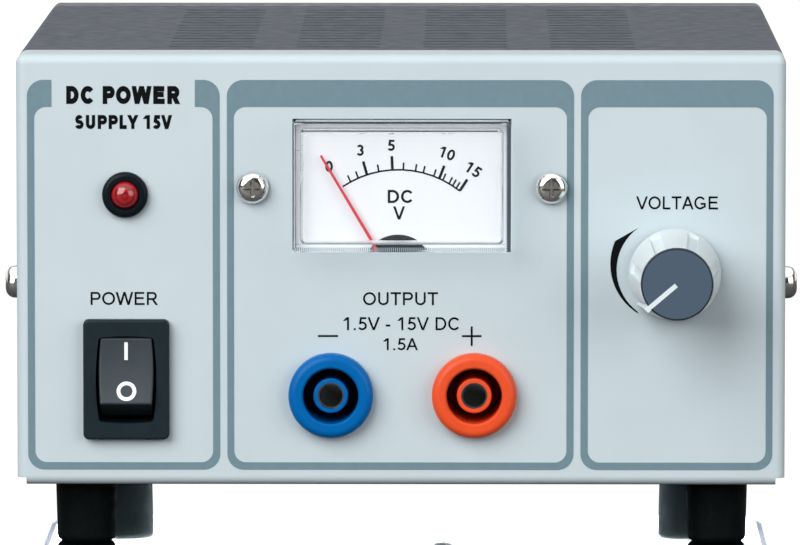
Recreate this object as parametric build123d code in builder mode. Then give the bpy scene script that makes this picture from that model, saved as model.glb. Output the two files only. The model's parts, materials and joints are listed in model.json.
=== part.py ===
"""Bench power supply: folded-steel case, panel meter, rocker switch, lamp, sockets and voltage knob.

X is across (right seen from the front), Y runs from the front to the rear, Z is up, in millimetres.
The origin is at the bottom centre of the whole object, on the surface that the feet stand on.
Places on the front are given across from the middle and up from the underside of the case, and
depths are measured rearwards from the outer face of the front panel.
"""

import os
from math import cos, radians, sin

from build123d import *

# Case
WIDTH = 134.0
DEPTH = 140.0
HEIGHT = 75.35
SHEET = 1.0
BEND = 1.6
COVER_BEND = 1.5
FLANGE = 11.0
SEAM = 0.15
NOTCH = 1.6
FOOT_HEIGHT = 11.15

# What stands proud of the front and of the rear
KNOB_REACH = 19.0
REAR_REACH = 7.0

BASE_Z = FOOT_HEIGHT
FRONT_Y = (KNOB_REACH - REAR_REACH - DEPTH) / 2
FLOOR = SHEET
REAR = DEPTH

# Vent slots in the cover
VENT_COLUMNS = 4
VENT_ROWS = 15
VENT_COLUMN_PITCH = 22.4
VENT_ROW_PITCH = 7.0
VENT_LENGTH = 15.0
VENT_WIDTH = 1.5
VENT_CENTRE_DEPTH = 68.0

# Feet
FOOT_RADIUS = 5.4
FOOT_TAPER = 0.3
FRONT_FOOT = (55.4, 12.0)
REAR_FOOT = (52.4, 106.0)
FOOT_SEAT = 5.0

# M3 fasteners
SCREW_RADIUS = 1.5
CLEAR_RADIUS = 1.6
THREAD_GAP = 0.02
HEAD_RADIUS = 2.85
HEAD_HEIGHT = 2.2
NUT_RADIUS = 3.18
NUT_HEIGHT = 2.4

# Cover screws and the tabs that they pull on
SIDE_SCREW_HEIGHT = 35.0
SIDE_SCREW_DEPTH = 7.0
TAB_SHEET = 1.2
TAB_LENGTH = 19.5
TAB_WIDTH = 18.0

# Rocker switch
SWITCH = (-47.85, 18.65)
BEZEL = (15.0, 21.0)
BEZEL_REACH = 2.0
SWITCH_BODY = (12.9, 19.0)
SWITCH_DEPTH = 14.0
ROCKER_PIVOT_DEPTH = 5.6
ROCKER_TILT = 11.0
ROCKER_CAVITY_DEPTH = 8.4
PIN_RADIUS = 1.2
PIN_GAP = 0.05

# Lamp
LAMP = (-48.0, 50.9)
LAMP_RING_RADIUS = 4.0
LAMP_BARREL_RADIUS = 3.05
LAMP_LENS_RADIUS = 2.5

# Panel meter
METER = (0.2, 52.7)
METER_FACE = (37.9, 22.7)
METER_REACH = 6.0
METER_WALL = 1.3
METER_WINDOW = (34.2, 18.9)
METER_SCREW = (26.0, 52.2)
METER_CASE_DEPTH = 22.0
METER_CASE_HALF_WIDTH = 20.9
METER_CASE_BOTTOM = 25.0
METER_CASE_TOP = 65.0
METER_CASE_WALL = 1.2
METER_PIVOT = (-0.5, 35.05)
NEEDLE_REST = 30.8
NEEDLE_LENGTH = 26.3
NEEDLE_DEPTH = 1.75
NEEDLE_SHEET = 0.3
STAFF_RADIUS = 0.5
HUB_SHIELD_RADIUS = 6.3
HUB_SHIELD_RISE = 2.4
HUB_SHIELD_SHEET = 0.45
BEARING_GAP = 0.05
CORE_RADIUS = 4.0
COIL_INNER = 4.4
COIL_OUTER = 5.1
MAGNET_INNER = 5.6
MAGNET_OUTER = 8.6

# Safety sockets
SOCKET_MIDDLE = 0.3
SOCKET_SPACING = 25.0
SOCKET_HEIGHT = 15.85
SOCKET_FLANGE_RADIUS = 7.4
SOCKET_REACH = 3.0
SOCKET_BARREL_RADIUS = 6.0
GROOVE_OUTER = 4.85
COLLAR_RADIUS = 3.05
CONTACT_RADIUS = 2.3
CONTACT_BORE = 2.0

# Knob and potentiometer
KNOB = (47.7, 37.05)
KNOB_POINTER_ANGLE = 220.4
KNOB_RIBS = 7
KNOB_GAP = 1.0
KNOB_BASE_RADIUS = 8.05
KNOB_TOP_RADIUS = 6.25
KNOB_SKIRT_RADIUS = 7.75
CAP_RADIUS = 6.25
CAP_DEPTH = 1.5
CAP_GAP = 0.02
SHAFT_RADIUS = 3.0
BUSH_RADIUS = 3.5
RUNNING_GAP = 0.03

# Rear panel
INLET = (-34.0, 24.0)
INLET_CAVITY = (24.0, 16.4)
INLET_DEPTH = 15.0
INLET_FLANGE = (49.0, 23.0)
INLET_SCREW_SPACING = 40.0
FUSE = (6.0, 24.0)

# Transformer
CORE_PLACE = (-25.0, 84.0)
CORE_SIZE = (54.0, 22.0, 45.0)
CORE_LEG = 9.0
BRACKET_FOOT = 32.0

# Circuit board
BOARD_PLACE = (36.0, 84.0)
BOARD_SIZE = (46.0, 72.0)
BOARD_THICKNESS = 1.6
STANDOFF_HEIGHT = 7.0
BOARD_HOLES = (39.0, 65.0)
BOARD_TOP = FLOOR + STANDOFF_HEIGHT + BOARD_THICKNESS


def panel_plane(depth=0.0, across=0.0, height=0.0):
    """A plane that faces the viewer, with its local Y up."""
    origin = (across, FRONT_Y + depth, BASE_Z + height)
    return Plane(origin=origin, x_dir=(1, 0, 0), z_dir=(0, -1, 0))


def rear_plane(depth, across=0.0, height=0.0):
    """A plane that faces the rear, with its local Y up."""
    origin = (across, FRONT_Y + depth, BASE_Z + height)
    return Plane(origin=origin, x_dir=(-1, 0, 0), z_dir=(0, 1, 0))


def level_plane(height=0.0, across=0.0, depth=0.0):
    """A level plane that faces up."""
    return Plane(origin=(across, FRONT_Y + depth, BASE_Z + height))


def under_plane(height, across, depth):
    """A level plane that faces down."""
    origin = (across, FRONT_Y + depth, BASE_Z + height)
    return Plane(origin=origin, x_dir=(1, 0, 0), z_dir=(0, 0, -1))


def side_plane(side, across, depth, height):
    """A plane that faces right (side 1) or left (side -1), with its local Y up."""
    origin = (side * across, FRONT_Y + depth, BASE_Z + height)
    return Plane(origin=origin, x_dir=(0, side, 0), z_dir=(side, 0, 0))


def column(plane, radius, length, mode=Mode.ADD):
    """A round bar along the plane's normal."""
    with BuildSketch(plane) as outline:
        Circle(radius)
    extrude(outline.sketch, amount=length, mode=mode)


def block(plane, width, height, length, mode=Mode.ADD):
    """A rectangular bar along the plane's normal."""
    with BuildSketch(plane) as outline:
        Rectangle(width, height)
    extrude(outline.sketch, amount=length, mode=mode)


def hexagon(plane, radius, length, mode=Mode.ADD):
    """A hexagonal bar along the plane's normal."""
    with BuildSketch(plane) as outline:
        RegularPolygon(radius, 6)
    extrude(outline.sketch, amount=length, mode=mode)


def pan_screw(length):
    """A pan-head screw with a cross recess. Its seat is at Z 0 and its head is above."""
    with BuildPart() as screw:
        column(Plane.XY, HEAD_RADIUS, HEAD_HEIGHT)
        rim = screw.edges().filter_by(GeomType.CIRCLE).sort_by(Axis.Z)[-1]
        fillet(rim, HEAD_HEIGHT * 0.72)
        for turn in (0, 90):
            with BuildSketch(Plane.XY.offset(HEAD_HEIGHT)) as recess:
                Rectangle(3.3, 0.75, rotation=turn)
            extrude(recess.sketch, amount=-1.3, taper=12, mode=Mode.SUBTRACT)
        column(Plane.XY, SCREW_RADIUS, -length)
    return screw.part


def hex_nut():
    """An M3 nut with its lower face at Z 0."""
    with BuildPart() as nut:
        hexagon(Plane.XY, NUT_RADIUS, NUT_HEIGHT)
        column(Plane.XY, SCREW_RADIUS + THREAD_GAP, NUT_HEIGHT, mode=Mode.SUBTRACT)
    return nut.part


def lead(points, radius, bends):
    """A round insulated lead along straight runs joined by tangent arcs."""
    with BuildPart() as wire:
        with BuildLine() as route:
            FilletPolyline(*points, radius=bends)
        with BuildSketch(Plane(origin=route.line @ 0, z_dir=route.line % 0)):
            Circle(radius)
        sweep(path=route.line)
    return wire.part


def at(across, depth, height):
    """A point given across, rearwards and up, as the leads' routes are."""
    return (across, FRONT_Y + depth, BASE_Z + height)


pieces = {}


def keep(name, part):
    """Labels a finished piece and remembers it for export."""
    part.label = name
    pieces[name] = part


# ---------------------------------------------------------------- case
foot_places = []
for foot_x, foot_depth in (FRONT_FOOT, REAR_FOOT):
    for side in (-1, 1):
        foot_places.append((side * foot_x, foot_depth))
board_holes = []
for side in (-1, 1):
    for end in (-1, 1):
        hole_x = BOARD_PLACE[0] + side * BOARD_HOLES[0] / 2
        board_holes.append((hole_x, BOARD_PLACE[1] + end * BOARD_HOLES[1] / 2))
bracket_holes = []
for side in (-1, 1):
    bracket_holes.append((CORE_PLACE[0] + side * BRACKET_FOOT, CORE_PLACE[1]))
socket_places = {
    "negative": (SOCKET_MIDDLE - SOCKET_SPACING / 2, SOCKET_HEIGHT),
    "positive": (SOCKET_MIDDLE + SOCKET_SPACING / 2, SOCKET_HEIGHT),
}
meter_screw_places = [
    (METER[0] - METER_SCREW[0], METER_SCREW[1]),
    (METER[0] + METER_SCREW[0], METER_SCREW[1]),
]

with BuildPart() as case_space:
    block(
        level_plane(SHEET, depth=DEPTH / 2),
        WIDTH - 2 * SHEET,
        DEPTH - 2 * SHEET,
        HEIGHT - 2 * SHEET,
    )
    fillet(case_space.edges(), BEND - SHEET)

with BuildPart() as chassis:
    block(level_plane(depth=DEPTH / 2), WIDTH, DEPTH, HEIGHT)
    fillet(chassis.edges(), BEND)
    add(case_space.part, mode=Mode.SUBTRACT)
    # The cover's place: between the front and rear flanges, above and beside the base.
    open_length = DEPTH - 2 * FLANGE
    block(level_plane(SHEET, depth=DEPTH / 2), WIDTH + 1, open_length, HEIGHT, mode=Mode.SUBTRACT)
    for side in (-1, 1):
        edge = level_plane(-1, side * WIDTH / 2, DEPTH / 2)
        block(edge, 2 * SHEET, open_length, 5, mode=Mode.SUBTRACT)
        # Relief notches where the side flanges meet the base bend.
        for end_depth in (0.0, DEPTH):
            corner = level_plane(-0.5, side * WIDTH / 2, end_depth)
            block(corner, 2 * NOTCH, 2 * FLANGE + 1, 0.5 + NOTCH * 0.8, mode=Mode.SUBTRACT)
    # Front panel openings.
    block(panel_plane(2, *SWITCH), SWITCH_BODY[0] + 0.2, SWITCH_BODY[1] + 0.2, 3, mode=Mode.SUBTRACT)
    column(panel_plane(2, *LAMP), LAMP_BARREL_RADIUS + 0.1, 3, mode=Mode.SUBTRACT)
    block(panel_plane(2, *METER), METER_FACE[0] + 0.2, METER_FACE[1] + 0.2, 3, mode=Mode.SUBTRACT)
    column(panel_plane(2, *KNOB), BUSH_RADIUS + 0.1, 3, mode=Mode.SUBTRACT)
    for place in meter_screw_places:
        column(panel_plane(2, *place), CLEAR_RADIUS, 3, mode=Mode.SUBTRACT)
    for place in socket_places.values():
        column(panel_plane(2, *place), SOCKET_BARREL_RADIUS + 0.1, 3, mode=Mode.SUBTRACT)
    for side in (-1, 1):
        for screw_depth in (SIDE_SCREW_DEPTH, DEPTH - SIDE_SCREW_DEPTH):
            flange_hole = side_plane(side, WIDTH / 2 - 2, screw_depth, SIDE_SCREW_HEIGHT)
            column(flange_hole, CLEAR_RADIUS, 3, mode=Mode.SUBTRACT)
    # Rear panel openings.
    block(
        rear_plane(REAR - 2, *INLET),
        INLET_CAVITY[0] + 3.2,
        INLET_CAVITY[1] + 3.2,
        3,
        mode=Mode.SUBTRACT,
    )
    for side in (-1, 1):
        inlet_hole = rear_plane(REAR - 2, INLET[0] + side * INLET_SCREW_SPACING / 2, INLET[1])
        column(inlet_hole, CLEAR_RADIUS, 3, mode=Mode.SUBTRACT)
    column(rear_plane(REAR - 2, *FUSE), 6.1, 3, mode=Mode.SUBTRACT)
    # Base holes and the slots that let air in below the transformer and the heat sink.
    for hole_x, hole_depth in foot_places + board_holes + bracket_holes:
        column(level_plane(-1, hole_x, hole_depth), CLEAR_RADIUS, 3, mode=Mode.SUBTRACT)
    with BuildSketch(level_plane(-1, depth=DEPTH / 2)) as base_slots:
        with GridLocations(44, 8, 2, 5):
            SlotOverall(22, 2.5)
    extrude(base_slots.sketch, amount=3, mode=Mode.SUBTRACT)
keep("chassis", chassis.part)

cover_length = DEPTH - 2 * FLANGE - 2 * SEAM
with BuildPart() as cover_space:
    block(level_plane(-2, depth=DEPTH / 2), WIDTH - 2 * SHEET, DEPTH, HEIGHT - SHEET + 2)
    top_edges = cover_space.edges().filter_by(Axis.Y).group_by(Axis.Z)[-1]
    fillet(top_edges, COVER_BEND - SHEET)
with BuildPart() as cover:
    block(level_plane(0.3, depth=DEPTH / 2), WIDTH, cover_length, HEIGHT - 0.3)
    fillet(cover.edges().filter_by(Axis.Y).group_by(Axis.Z)[-1], COVER_BEND)
    add(cover_space.part, mode=Mode.SUBTRACT)
    with BuildSketch(level_plane(HEIGHT - 2 * SHEET, depth=VENT_CENTRE_DEPTH)) as vents:
        with GridLocations(VENT_COLUMN_PITCH, VENT_ROW_PITCH, VENT_COLUMNS, VENT_ROWS):
            SlotOverall(VENT_LENGTH, VENT_WIDTH)
    extrude(vents.sketch, amount=3 * SHEET, mode=Mode.SUBTRACT)
keep("cover", cover.part)

side_screw_depths = (SIDE_SCREW_DEPTH, DEPTH - SIDE_SCREW_DEPTH)
tab_middles = (2.5 + TAB_LENGTH / 2, DEPTH - 2.5 - TAB_LENGTH / 2)
with BuildPart() as cover_tabs:
    for side in (-1, 1):
        for screw_depth, middle in zip(side_screw_depths, tab_middles):
            tab_face = side_plane(side, WIDTH / 2 - SHEET - TAB_SHEET, middle, SIDE_SCREW_HEIGHT)
            block(tab_face, TAB_LENGTH, TAB_WIDTH, TAB_SHEET)
            thread = side_plane(side, WIDTH / 2 - 4, screw_depth, SIDE_SCREW_HEIGHT)
            column(thread, SCREW_RADIUS + THREAD_GAP, 4, mode=Mode.SUBTRACT)
keep("cover_tabs", cover_tabs.part)

with BuildPart() as cover_screws:
    seats = []
    for side in (-1, 1):
        for screw_depth in side_screw_depths:
            seats.append(side_plane(side, WIDTH / 2, screw_depth, SIDE_SCREW_HEIGHT))
    with Locations(*seats):
        add(pan_screw(5))
keep("cover_screws", cover_screws.part)


def rubber_foot():
    """A slightly tapered round foot with a screw recess. Its top is at Z 0."""
    with BuildPart() as foot:
        with BuildSketch(Plane.XY.offset(-FOOT_HEIGHT)) as bottom:
            Circle(FOOT_RADIUS - FOOT_TAPER)
        with BuildSketch(Plane.XY) as top:
            Circle(FOOT_RADIUS)
        loft(Sketch() + [bottom.sketch, top.sketch])
        rims = foot.edges().filter_by(GeomType.CIRCLE).sort_by(Axis.Z)
        fillet(rims[0], 1.2)
        fillet(foot.edges().filter_by(GeomType.CIRCLE).sort_by(Axis.Z)[-1], 0.7)
        column(Plane.XY.offset(-FOOT_HEIGHT), HEAD_RADIUS + 0.15, FOOT_SEAT, mode=Mode.SUBTRACT)
        column(Plane.XY.offset(-FOOT_HEIGHT), CLEAR_RADIUS, FOOT_HEIGHT, mode=Mode.SUBTRACT)
    return foot.part


for name, (foot_x, foot_depth) in (("front_feet", FRONT_FOOT), ("rear_feet", REAR_FOOT)):
    with BuildPart() as feet:
        with Locations(level_plane(0, -foot_x, foot_depth), level_plane(0, foot_x, foot_depth)):
            add(rubber_foot())
    keep(name, feet.part)

with BuildPart() as foot_screws:
    seats = []
    for foot_x, foot_depth in foot_places:
        seats.append(under_plane(FOOT_SEAT - FOOT_HEIGHT, foot_x, foot_depth))
    with Locations(*seats):
        add(pan_screw(10))
keep("foot_screws", foot_screws.part)

# ---------------------------------------------------------------- rocker switch
with BuildPart() as switch_housing:
    block(panel_plane(0, *SWITCH), *BEZEL, BEZEL_REACH)
    corners = switch_housing.edges().filter_by(Axis.Y)
    fillet(corners, 1.0)
    fillet(switch_housing.faces().sort_by(Axis.Y)[0].edges(), 0.45)
    block(panel_plane(SWITCH_DEPTH, *SWITCH), *SWITCH_BODY, SWITCH_DEPTH)
    with BuildSketch(panel_plane(ROCKER_CAVITY_DEPTH, *SWITCH)) as opening:
        with BuildLine():
            right = ThreePointArc((4.75, -7.35), (5.3, 0), (4.75, 7.35))
            upper = ThreePointArc(right @ 1, (0, 7.65), (-4.75, 7.35))
            left = ThreePointArc(upper @ 1, (-5.3, 0), (-4.75, -7.35))
            ThreePointArc(left @ 1, (0, -7.65), right @ 0)
        make_face()
        fillet(opening.vertices(), 0.6)
    extrude(opening.sketch, amount=ROCKER_CAVITY_DEPTH + BEZEL_REACH + 1, mode=Mode.SUBTRACT)
    pivot_hole = side_plane(1, SWITCH[0] - 6.0, ROCKER_PIVOT_DEPTH, SWITCH[1])
    column(pivot_hole, PIN_RADIUS + PIN_GAP, 12.0, mode=Mode.SUBTRACT)
keep("switch_housing", switch_housing.part)

tilt = radians(ROCKER_TILT)
rocker_up = (0, sin(tilt), cos(tilt))
rocker_out = (0, -cos(tilt), sin(tilt))
pivot_point = at(SWITCH[0], ROCKER_PIVOT_DEPTH, SWITCH[1])
rocker_side = Plane(origin=pivot_point, x_dir=rocker_up, z_dir=(1, 0, 0))
rocker_front = Plane(origin=pivot_point, x_dir=(1, 0, 0), z_dir=rocker_out)
with BuildPart() as switch_rocker:
    with BuildSketch(rocker_side) as profile:
        with BuildLine():
            # Ends of the dished face, then the flared end walls and the underside.
            face = ThreePointArc((-5.79, 8.6), (0, 8.05), (5.79, 8.6))
            Polyline(face @ 1, (7.12, 1.92), (4.5, -1.3), (-4.5, -1.3), (-7.12, 1.92), face @ 0)
        make_face()
    extrude(profile.sketch, amount=5, both=True)
    with BuildSketch(rocker_front) as plan:
        with BuildLine():
            right = ThreePointArc((4.3, -7.5), (4.75, 0), (4.3, 7.5))
            top = Line(right @ 1, (-4.3, 7.5))
            left = ThreePointArc(top @ 1, (-4.75, 0), (-4.3, -7.5))
            Line(left @ 1, right @ 0)
        make_face()
    extrude(plan.sketch, amount=9, both=True, mode=Mode.INTERSECT)
    front_rim = switch_rocker.faces().sort_by(Axis.Y)[0].edges()
    fillet(front_rim, 0.35)
    column(rocker_side.offset(-5.75), PIN_RADIUS, 11.5)
keep("switch_rocker", switch_rocker.part)

with BuildPart() as switch_terminals:
    for rise in (-6.5, 0, 6.5):
        tab = panel_plane(SWITCH_DEPTH + 8, SWITCH[0], SWITCH[1] + rise)
        block(tab, 4.8, 0.8, 8)
keep("switch_terminals", switch_terminals.part)

# ---------------------------------------------------------------- lamp
with BuildPart() as lamp_clip:
    column(panel_plane(0, *LAMP), LAMP_RING_RADIUS, 1.7)
    fillet(lamp_clip.edges().filter_by(GeomType.CIRCLE).sort_by(Axis.Y)[0], 0.8)
    column(panel_plane(8, *LAMP), LAMP_BARREL_RADIUS, 8)
    column(panel_plane(9, *LAMP), LAMP_LENS_RADIUS + 0.05, 12, mode=Mode.SUBTRACT)
keep("lamp_clip", lamp_clip.part)

with BuildPart() as lamp_lens:
    column(panel_plane(8, *LAMP), 2.9, -1.0)
    column(panel_plane(8, *LAMP), LAMP_LENS_RADIUS, 10.9)
    fillet(lamp_lens.edges().filter_by(GeomType.CIRCLE).sort_by(Axis.Y)[0], 2.3)
keep("lamp_lens", lamp_lens.part)

# ---------------------------------------------------------------- panel meter
with BuildPart() as meter_space:
    space_size = (METER_FACE[0] - 2 * METER_WALL, METER_FACE[1] - 2 * METER_WALL)
    block(panel_plane(3, *METER), *space_size, METER_REACH + 3 - METER_WALL)
    fillet(meter_space.edges().filter_by(Axis.Y), 0.8)
    fillet(meter_space.faces().sort_by(Axis.Y)[0].edges(), 0.5)
with BuildPart() as meter_cover:
    block(panel_plane(SHEET, *METER), *METER_FACE, SHEET + METER_REACH)
    fillet(meter_cover.edges().filter_by(Axis.Y), 0.7)
    fillet(meter_cover.faces().sort_by(Axis.Y)[0].edges(), 0.5)
    with BuildSketch(panel_plane(-METER_REACH, *METER)) as window:
        RectangleRounded(*METER_WINDOW, 0.8)
    extrude(window.sketch, amount=0.3)
    fillet(meter_cover.faces().sort_by(Axis.Y)[0].edges(), 0.25)
    add(meter_space.part, mode=Mode.SUBTRACT)
    for side in (-1, 1):
        block(panel_plane(2.4, METER[0] + side * 19.25, METER[1]), 2.9, 12, 1.4)
keep("meter_cover", meter_cover.part)

inner_half = METER_CASE_HALF_WIDTH - METER_CASE_WALL
case_middle = (METER_CASE_BOTTOM + METER_CASE_TOP) / 2
case_height = METER_CASE_TOP - METER_CASE_BOTTOM
inner_height = case_height - 2 * METER_CASE_WALL
DIAL_FACE_DEPTH = 2.6
with BuildPart() as meter_case:
    outer = panel_plane(2.4, METER[0], case_middle)
    block(outer, 2 * METER_CASE_HALF_WIDTH, case_height, 2.4 - METER_CASE_DEPTH)
    block(
        outer,
        2 * inner_half,
        inner_height,
        2.4 - METER_CASE_DEPTH + METER_CASE_WALL,
        mode=Mode.SUBTRACT,
    )
    for side in (-1, 1):
        stud_hole = panel_plane(METER_CASE_DEPTH, METER[0] + side * 13.0, 40.0)
        column(stud_hole, 2.02, 3, mode=Mode.SUBTRACT)
keep("meter_case", meter_case.part)

with BuildPart() as meter_dial:
    dial_face = panel_plane(DIAL_FACE_DEPTH, METER[0], case_middle)
    block(dial_face, 2 * inner_half - 0.1, inner_height - 0.1, -0.5)
    column(panel_plane(0, *METER_PIVOT), 1.2, -5, mode=Mode.SUBTRACT)
keep("meter_dial", meter_dial.part)

with BuildPart() as meter_hub_shield:
    shield_middle = (METER_PIVOT[0], METER_PIVOT[1] + HUB_SHIELD_RISE)
    column(panel_plane(DIAL_FACE_DEPTH, *shield_middle), HUB_SHIELD_RADIUS, HUB_SHIELD_SHEET)
    column(panel_plane(0, *METER_PIVOT), 1.2, -5, mode=Mode.SUBTRACT)
keep("meter_hub_shield", meter_hub_shield.part)

swing = radians(NEEDLE_REST)
needle_plane = Plane(
    origin=at(METER_PIVOT[0], NEEDLE_DEPTH, METER_PIVOT[1]),
    x_dir=(cos(swing), 0, sin(swing)),
    z_dir=(0, -1, 0),
)
with BuildPart() as meter_needle:
    with BuildSketch(needle_plane) as pointer:
        Polygon(
            (-0.45, -5.0),
            (0.45, -5.0),
            (0.3, 0.0),
            (0.2, NEEDLE_LENGTH),
            (-0.2, NEEDLE_LENGTH),
            (-0.3, 0.0),
            align=None,
        )
        Circle(1.5)
        with Locations((0, -5.0)):
            Circle(1.0)
    extrude(pointer.sketch, amount=NEEDLE_SHEET)
    column(panel_plane(7.6, *METER_PIVOT), STAFF_RADIUS, 6.3)
keep("meter_needle", meter_needle.part)

# The moving coil turns round a fixed core, inside a ring magnet.
coil_turn = radians(32.0)
coil_plane = Plane(
    origin=at(METER_PIVOT[0], 18.4, METER_PIVOT[1]),
    x_dir=(cos(coil_turn), 0, sin(coil_turn)),
    z_dir=(0, -1, 0),
)
with BuildPart() as meter_coil:
    block(coil_plane, 2 * COIL_OUTER, 1.6, 10.8)
    block(coil_plane.offset(0.6), 2 * COIL_INNER, 3.0, 9.6, mode=Mode.SUBTRACT)
    column(panel_plane(20.2, *METER_PIVOT), STAFF_RADIUS, 1.8)
keep("meter_coil", meter_coil.part)

with BuildPart() as meter_core:
    column(panel_plane(17.5, *METER_PIVOT), CORE_RADIUS, 9)
    strut = level_plane(METER_PIVOT[1] - MAGNET_INNER + 0.1, METER_PIVOT[0], 13)
    block(strut, 2, 2, MAGNET_INNER - CORE_RADIUS + 0.4)
keep("meter_core", meter_core.part)

with BuildPart() as meter_magnet:
    column(panel_plane(17.5, *METER_PIVOT), MAGNET_OUTER, 9)
    column(panel_plane(17.5, *METER_PIVOT), MAGNET_INNER, 9, mode=Mode.SUBTRACT)
keep("meter_magnet", meter_magnet.part)

with BuildPart() as meter_bridge:
    bridge_width = 2 * (MAGNET_OUTER + 2)
    block(panel_plane(20.8, *METER_PIVOT), bridge_width, 6, 16.2)
    block(panel_plane(19.0, *METER_PIVOT), 2 * MAGNET_OUTER, 7, 13.2, mode=Mode.SUBTRACT)
    bearing = panel_plane(21, *METER_PIVOT)
    column(bearing, STAFF_RADIUS + BEARING_GAP, 18, mode=Mode.SUBTRACT)
keep("meter_bridge", meter_bridge.part)

with BuildPart() as meter_bracket:
    strap_inner = METER_CASE_HALF_WIDTH + 0.05
    strap_outer = strap_inner + 1.0
    strap_bottom = METER_SCREW[1] - 5
    for side in (-1, 1):
        foot_middle = METER[0] + side * (strap_inner + 30.0) / 2
        block(level_plane(strap_bottom, foot_middle, 1.5), 30.0 - strap_inner, 1.0, 10)
        wall_middle = METER[0] + side * (strap_inner + strap_outer) / 2
        block(level_plane(strap_bottom, wall_middle, 12.0), 1.0, 22.0, 10)
    block(level_plane(strap_bottom, METER[0], METER_CASE_DEPTH + 0.5), 2 * strap_outer, 1.0, 10)
    for place in meter_screw_places:
        column(panel_plane(3, *place), CLEAR_RADIUS, 3, mode=Mode.SUBTRACT)
keep("meter_bracket", meter_bracket.part)

with BuildPart() as meter_screws:
    with Locations(*[panel_plane(0, *place) for place in meter_screw_places]):
        add(pan_screw(6))
keep("meter_screws", meter_screws.part)

with BuildPart() as meter_terminals:
    for side in (-1, 1):
        column(panel_plane(METER_CASE_DEPTH - 1.2, METER[0] + side * 13.0, 40.0), 2.0, -11)
        hexagon(panel_plane(METER_CASE_DEPTH, METER[0] + side * 13.0, 40.0), 4.0, -3)
keep("meter_terminals", meter_terminals.part)

# ---------------------------------------------------------------- safety sockets
CONTACT_FRONT = -0.9
CONTACT_END = 17.0
STUD_END = 30.0
COLLAR_FRONT = -1.6
for name, place in socket_places.items():
    with BuildPart() as socket:
        column(panel_plane(0, *place), SOCKET_FLANGE_RADIUS, SOCKET_REACH)
        fillet(socket.edges().filter_by(GeomType.CIRCLE).sort_by(Axis.Y)[0], 1.3)
        column(panel_plane(22, *place), SOCKET_BARREL_RADIUS, 22)
        column(panel_plane(18, *place), GROOVE_OUTER, 30, mode=Mode.SUBTRACT)
        chamfer(
            socket.edges().filter_by(GeomType.CIRCLE).group_by(Axis.Y)[0].sort_by(SortBy.RADIUS)[0],
            0.3,
        )
        column(panel_plane(22, *place), COLLAR_RADIUS, 22 - COLLAR_FRONT)
        fillet(
            socket.edges()
            .filter_by(GeomType.CIRCLE)
            .filter_by(lambda edge: abs(edge.radius - COLLAR_RADIUS) < 0.01)
            .sort_by(Axis.Y)[0],
            0.3,
        )
        column(panel_plane(23, *place), CONTACT_RADIUS, 40, mode=Mode.SUBTRACT)
    keep(f"{name}_socket", socket.part)
    with BuildPart() as contact:
        column(panel_plane(22, *place), CONTACT_RADIUS, 22 - CONTACT_FRONT)
        column(panel_plane(CONTACT_END, *place), CONTACT_BORE, 30, mode=Mode.SUBTRACT)
        column(panel_plane(22, *place), 2.0, 22 - STUD_END)
    keep(f"{name}_contact", contact.part)

with BuildPart() as socket_nuts:
    for place in socket_places.values():
        hexagon(panel_plane(SHEET, *place), 8.2, -3)
        nut_bore = panel_plane(SHEET, *place)
        column(nut_bore, SOCKET_BARREL_RADIUS + THREAD_GAP, -3, mode=Mode.SUBTRACT)
keep("socket_nuts", socket_nuts.part)

with BuildPart() as socket_lugs:
    for place in socket_places.values():
        column(panel_plane(22, *place), 4.0, -0.8)
        hexagon(panel_plane(22.8, *place), 3.6, -2.4)
        block(panel_plane(22, place[0], place[1] - 6), 3.0, 8.0, -0.8)
        column(panel_plane(20, *place), 2.0 + THREAD_GAP, -12, mode=Mode.SUBTRACT)
keep("socket_lugs", socket_lugs.part)

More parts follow.
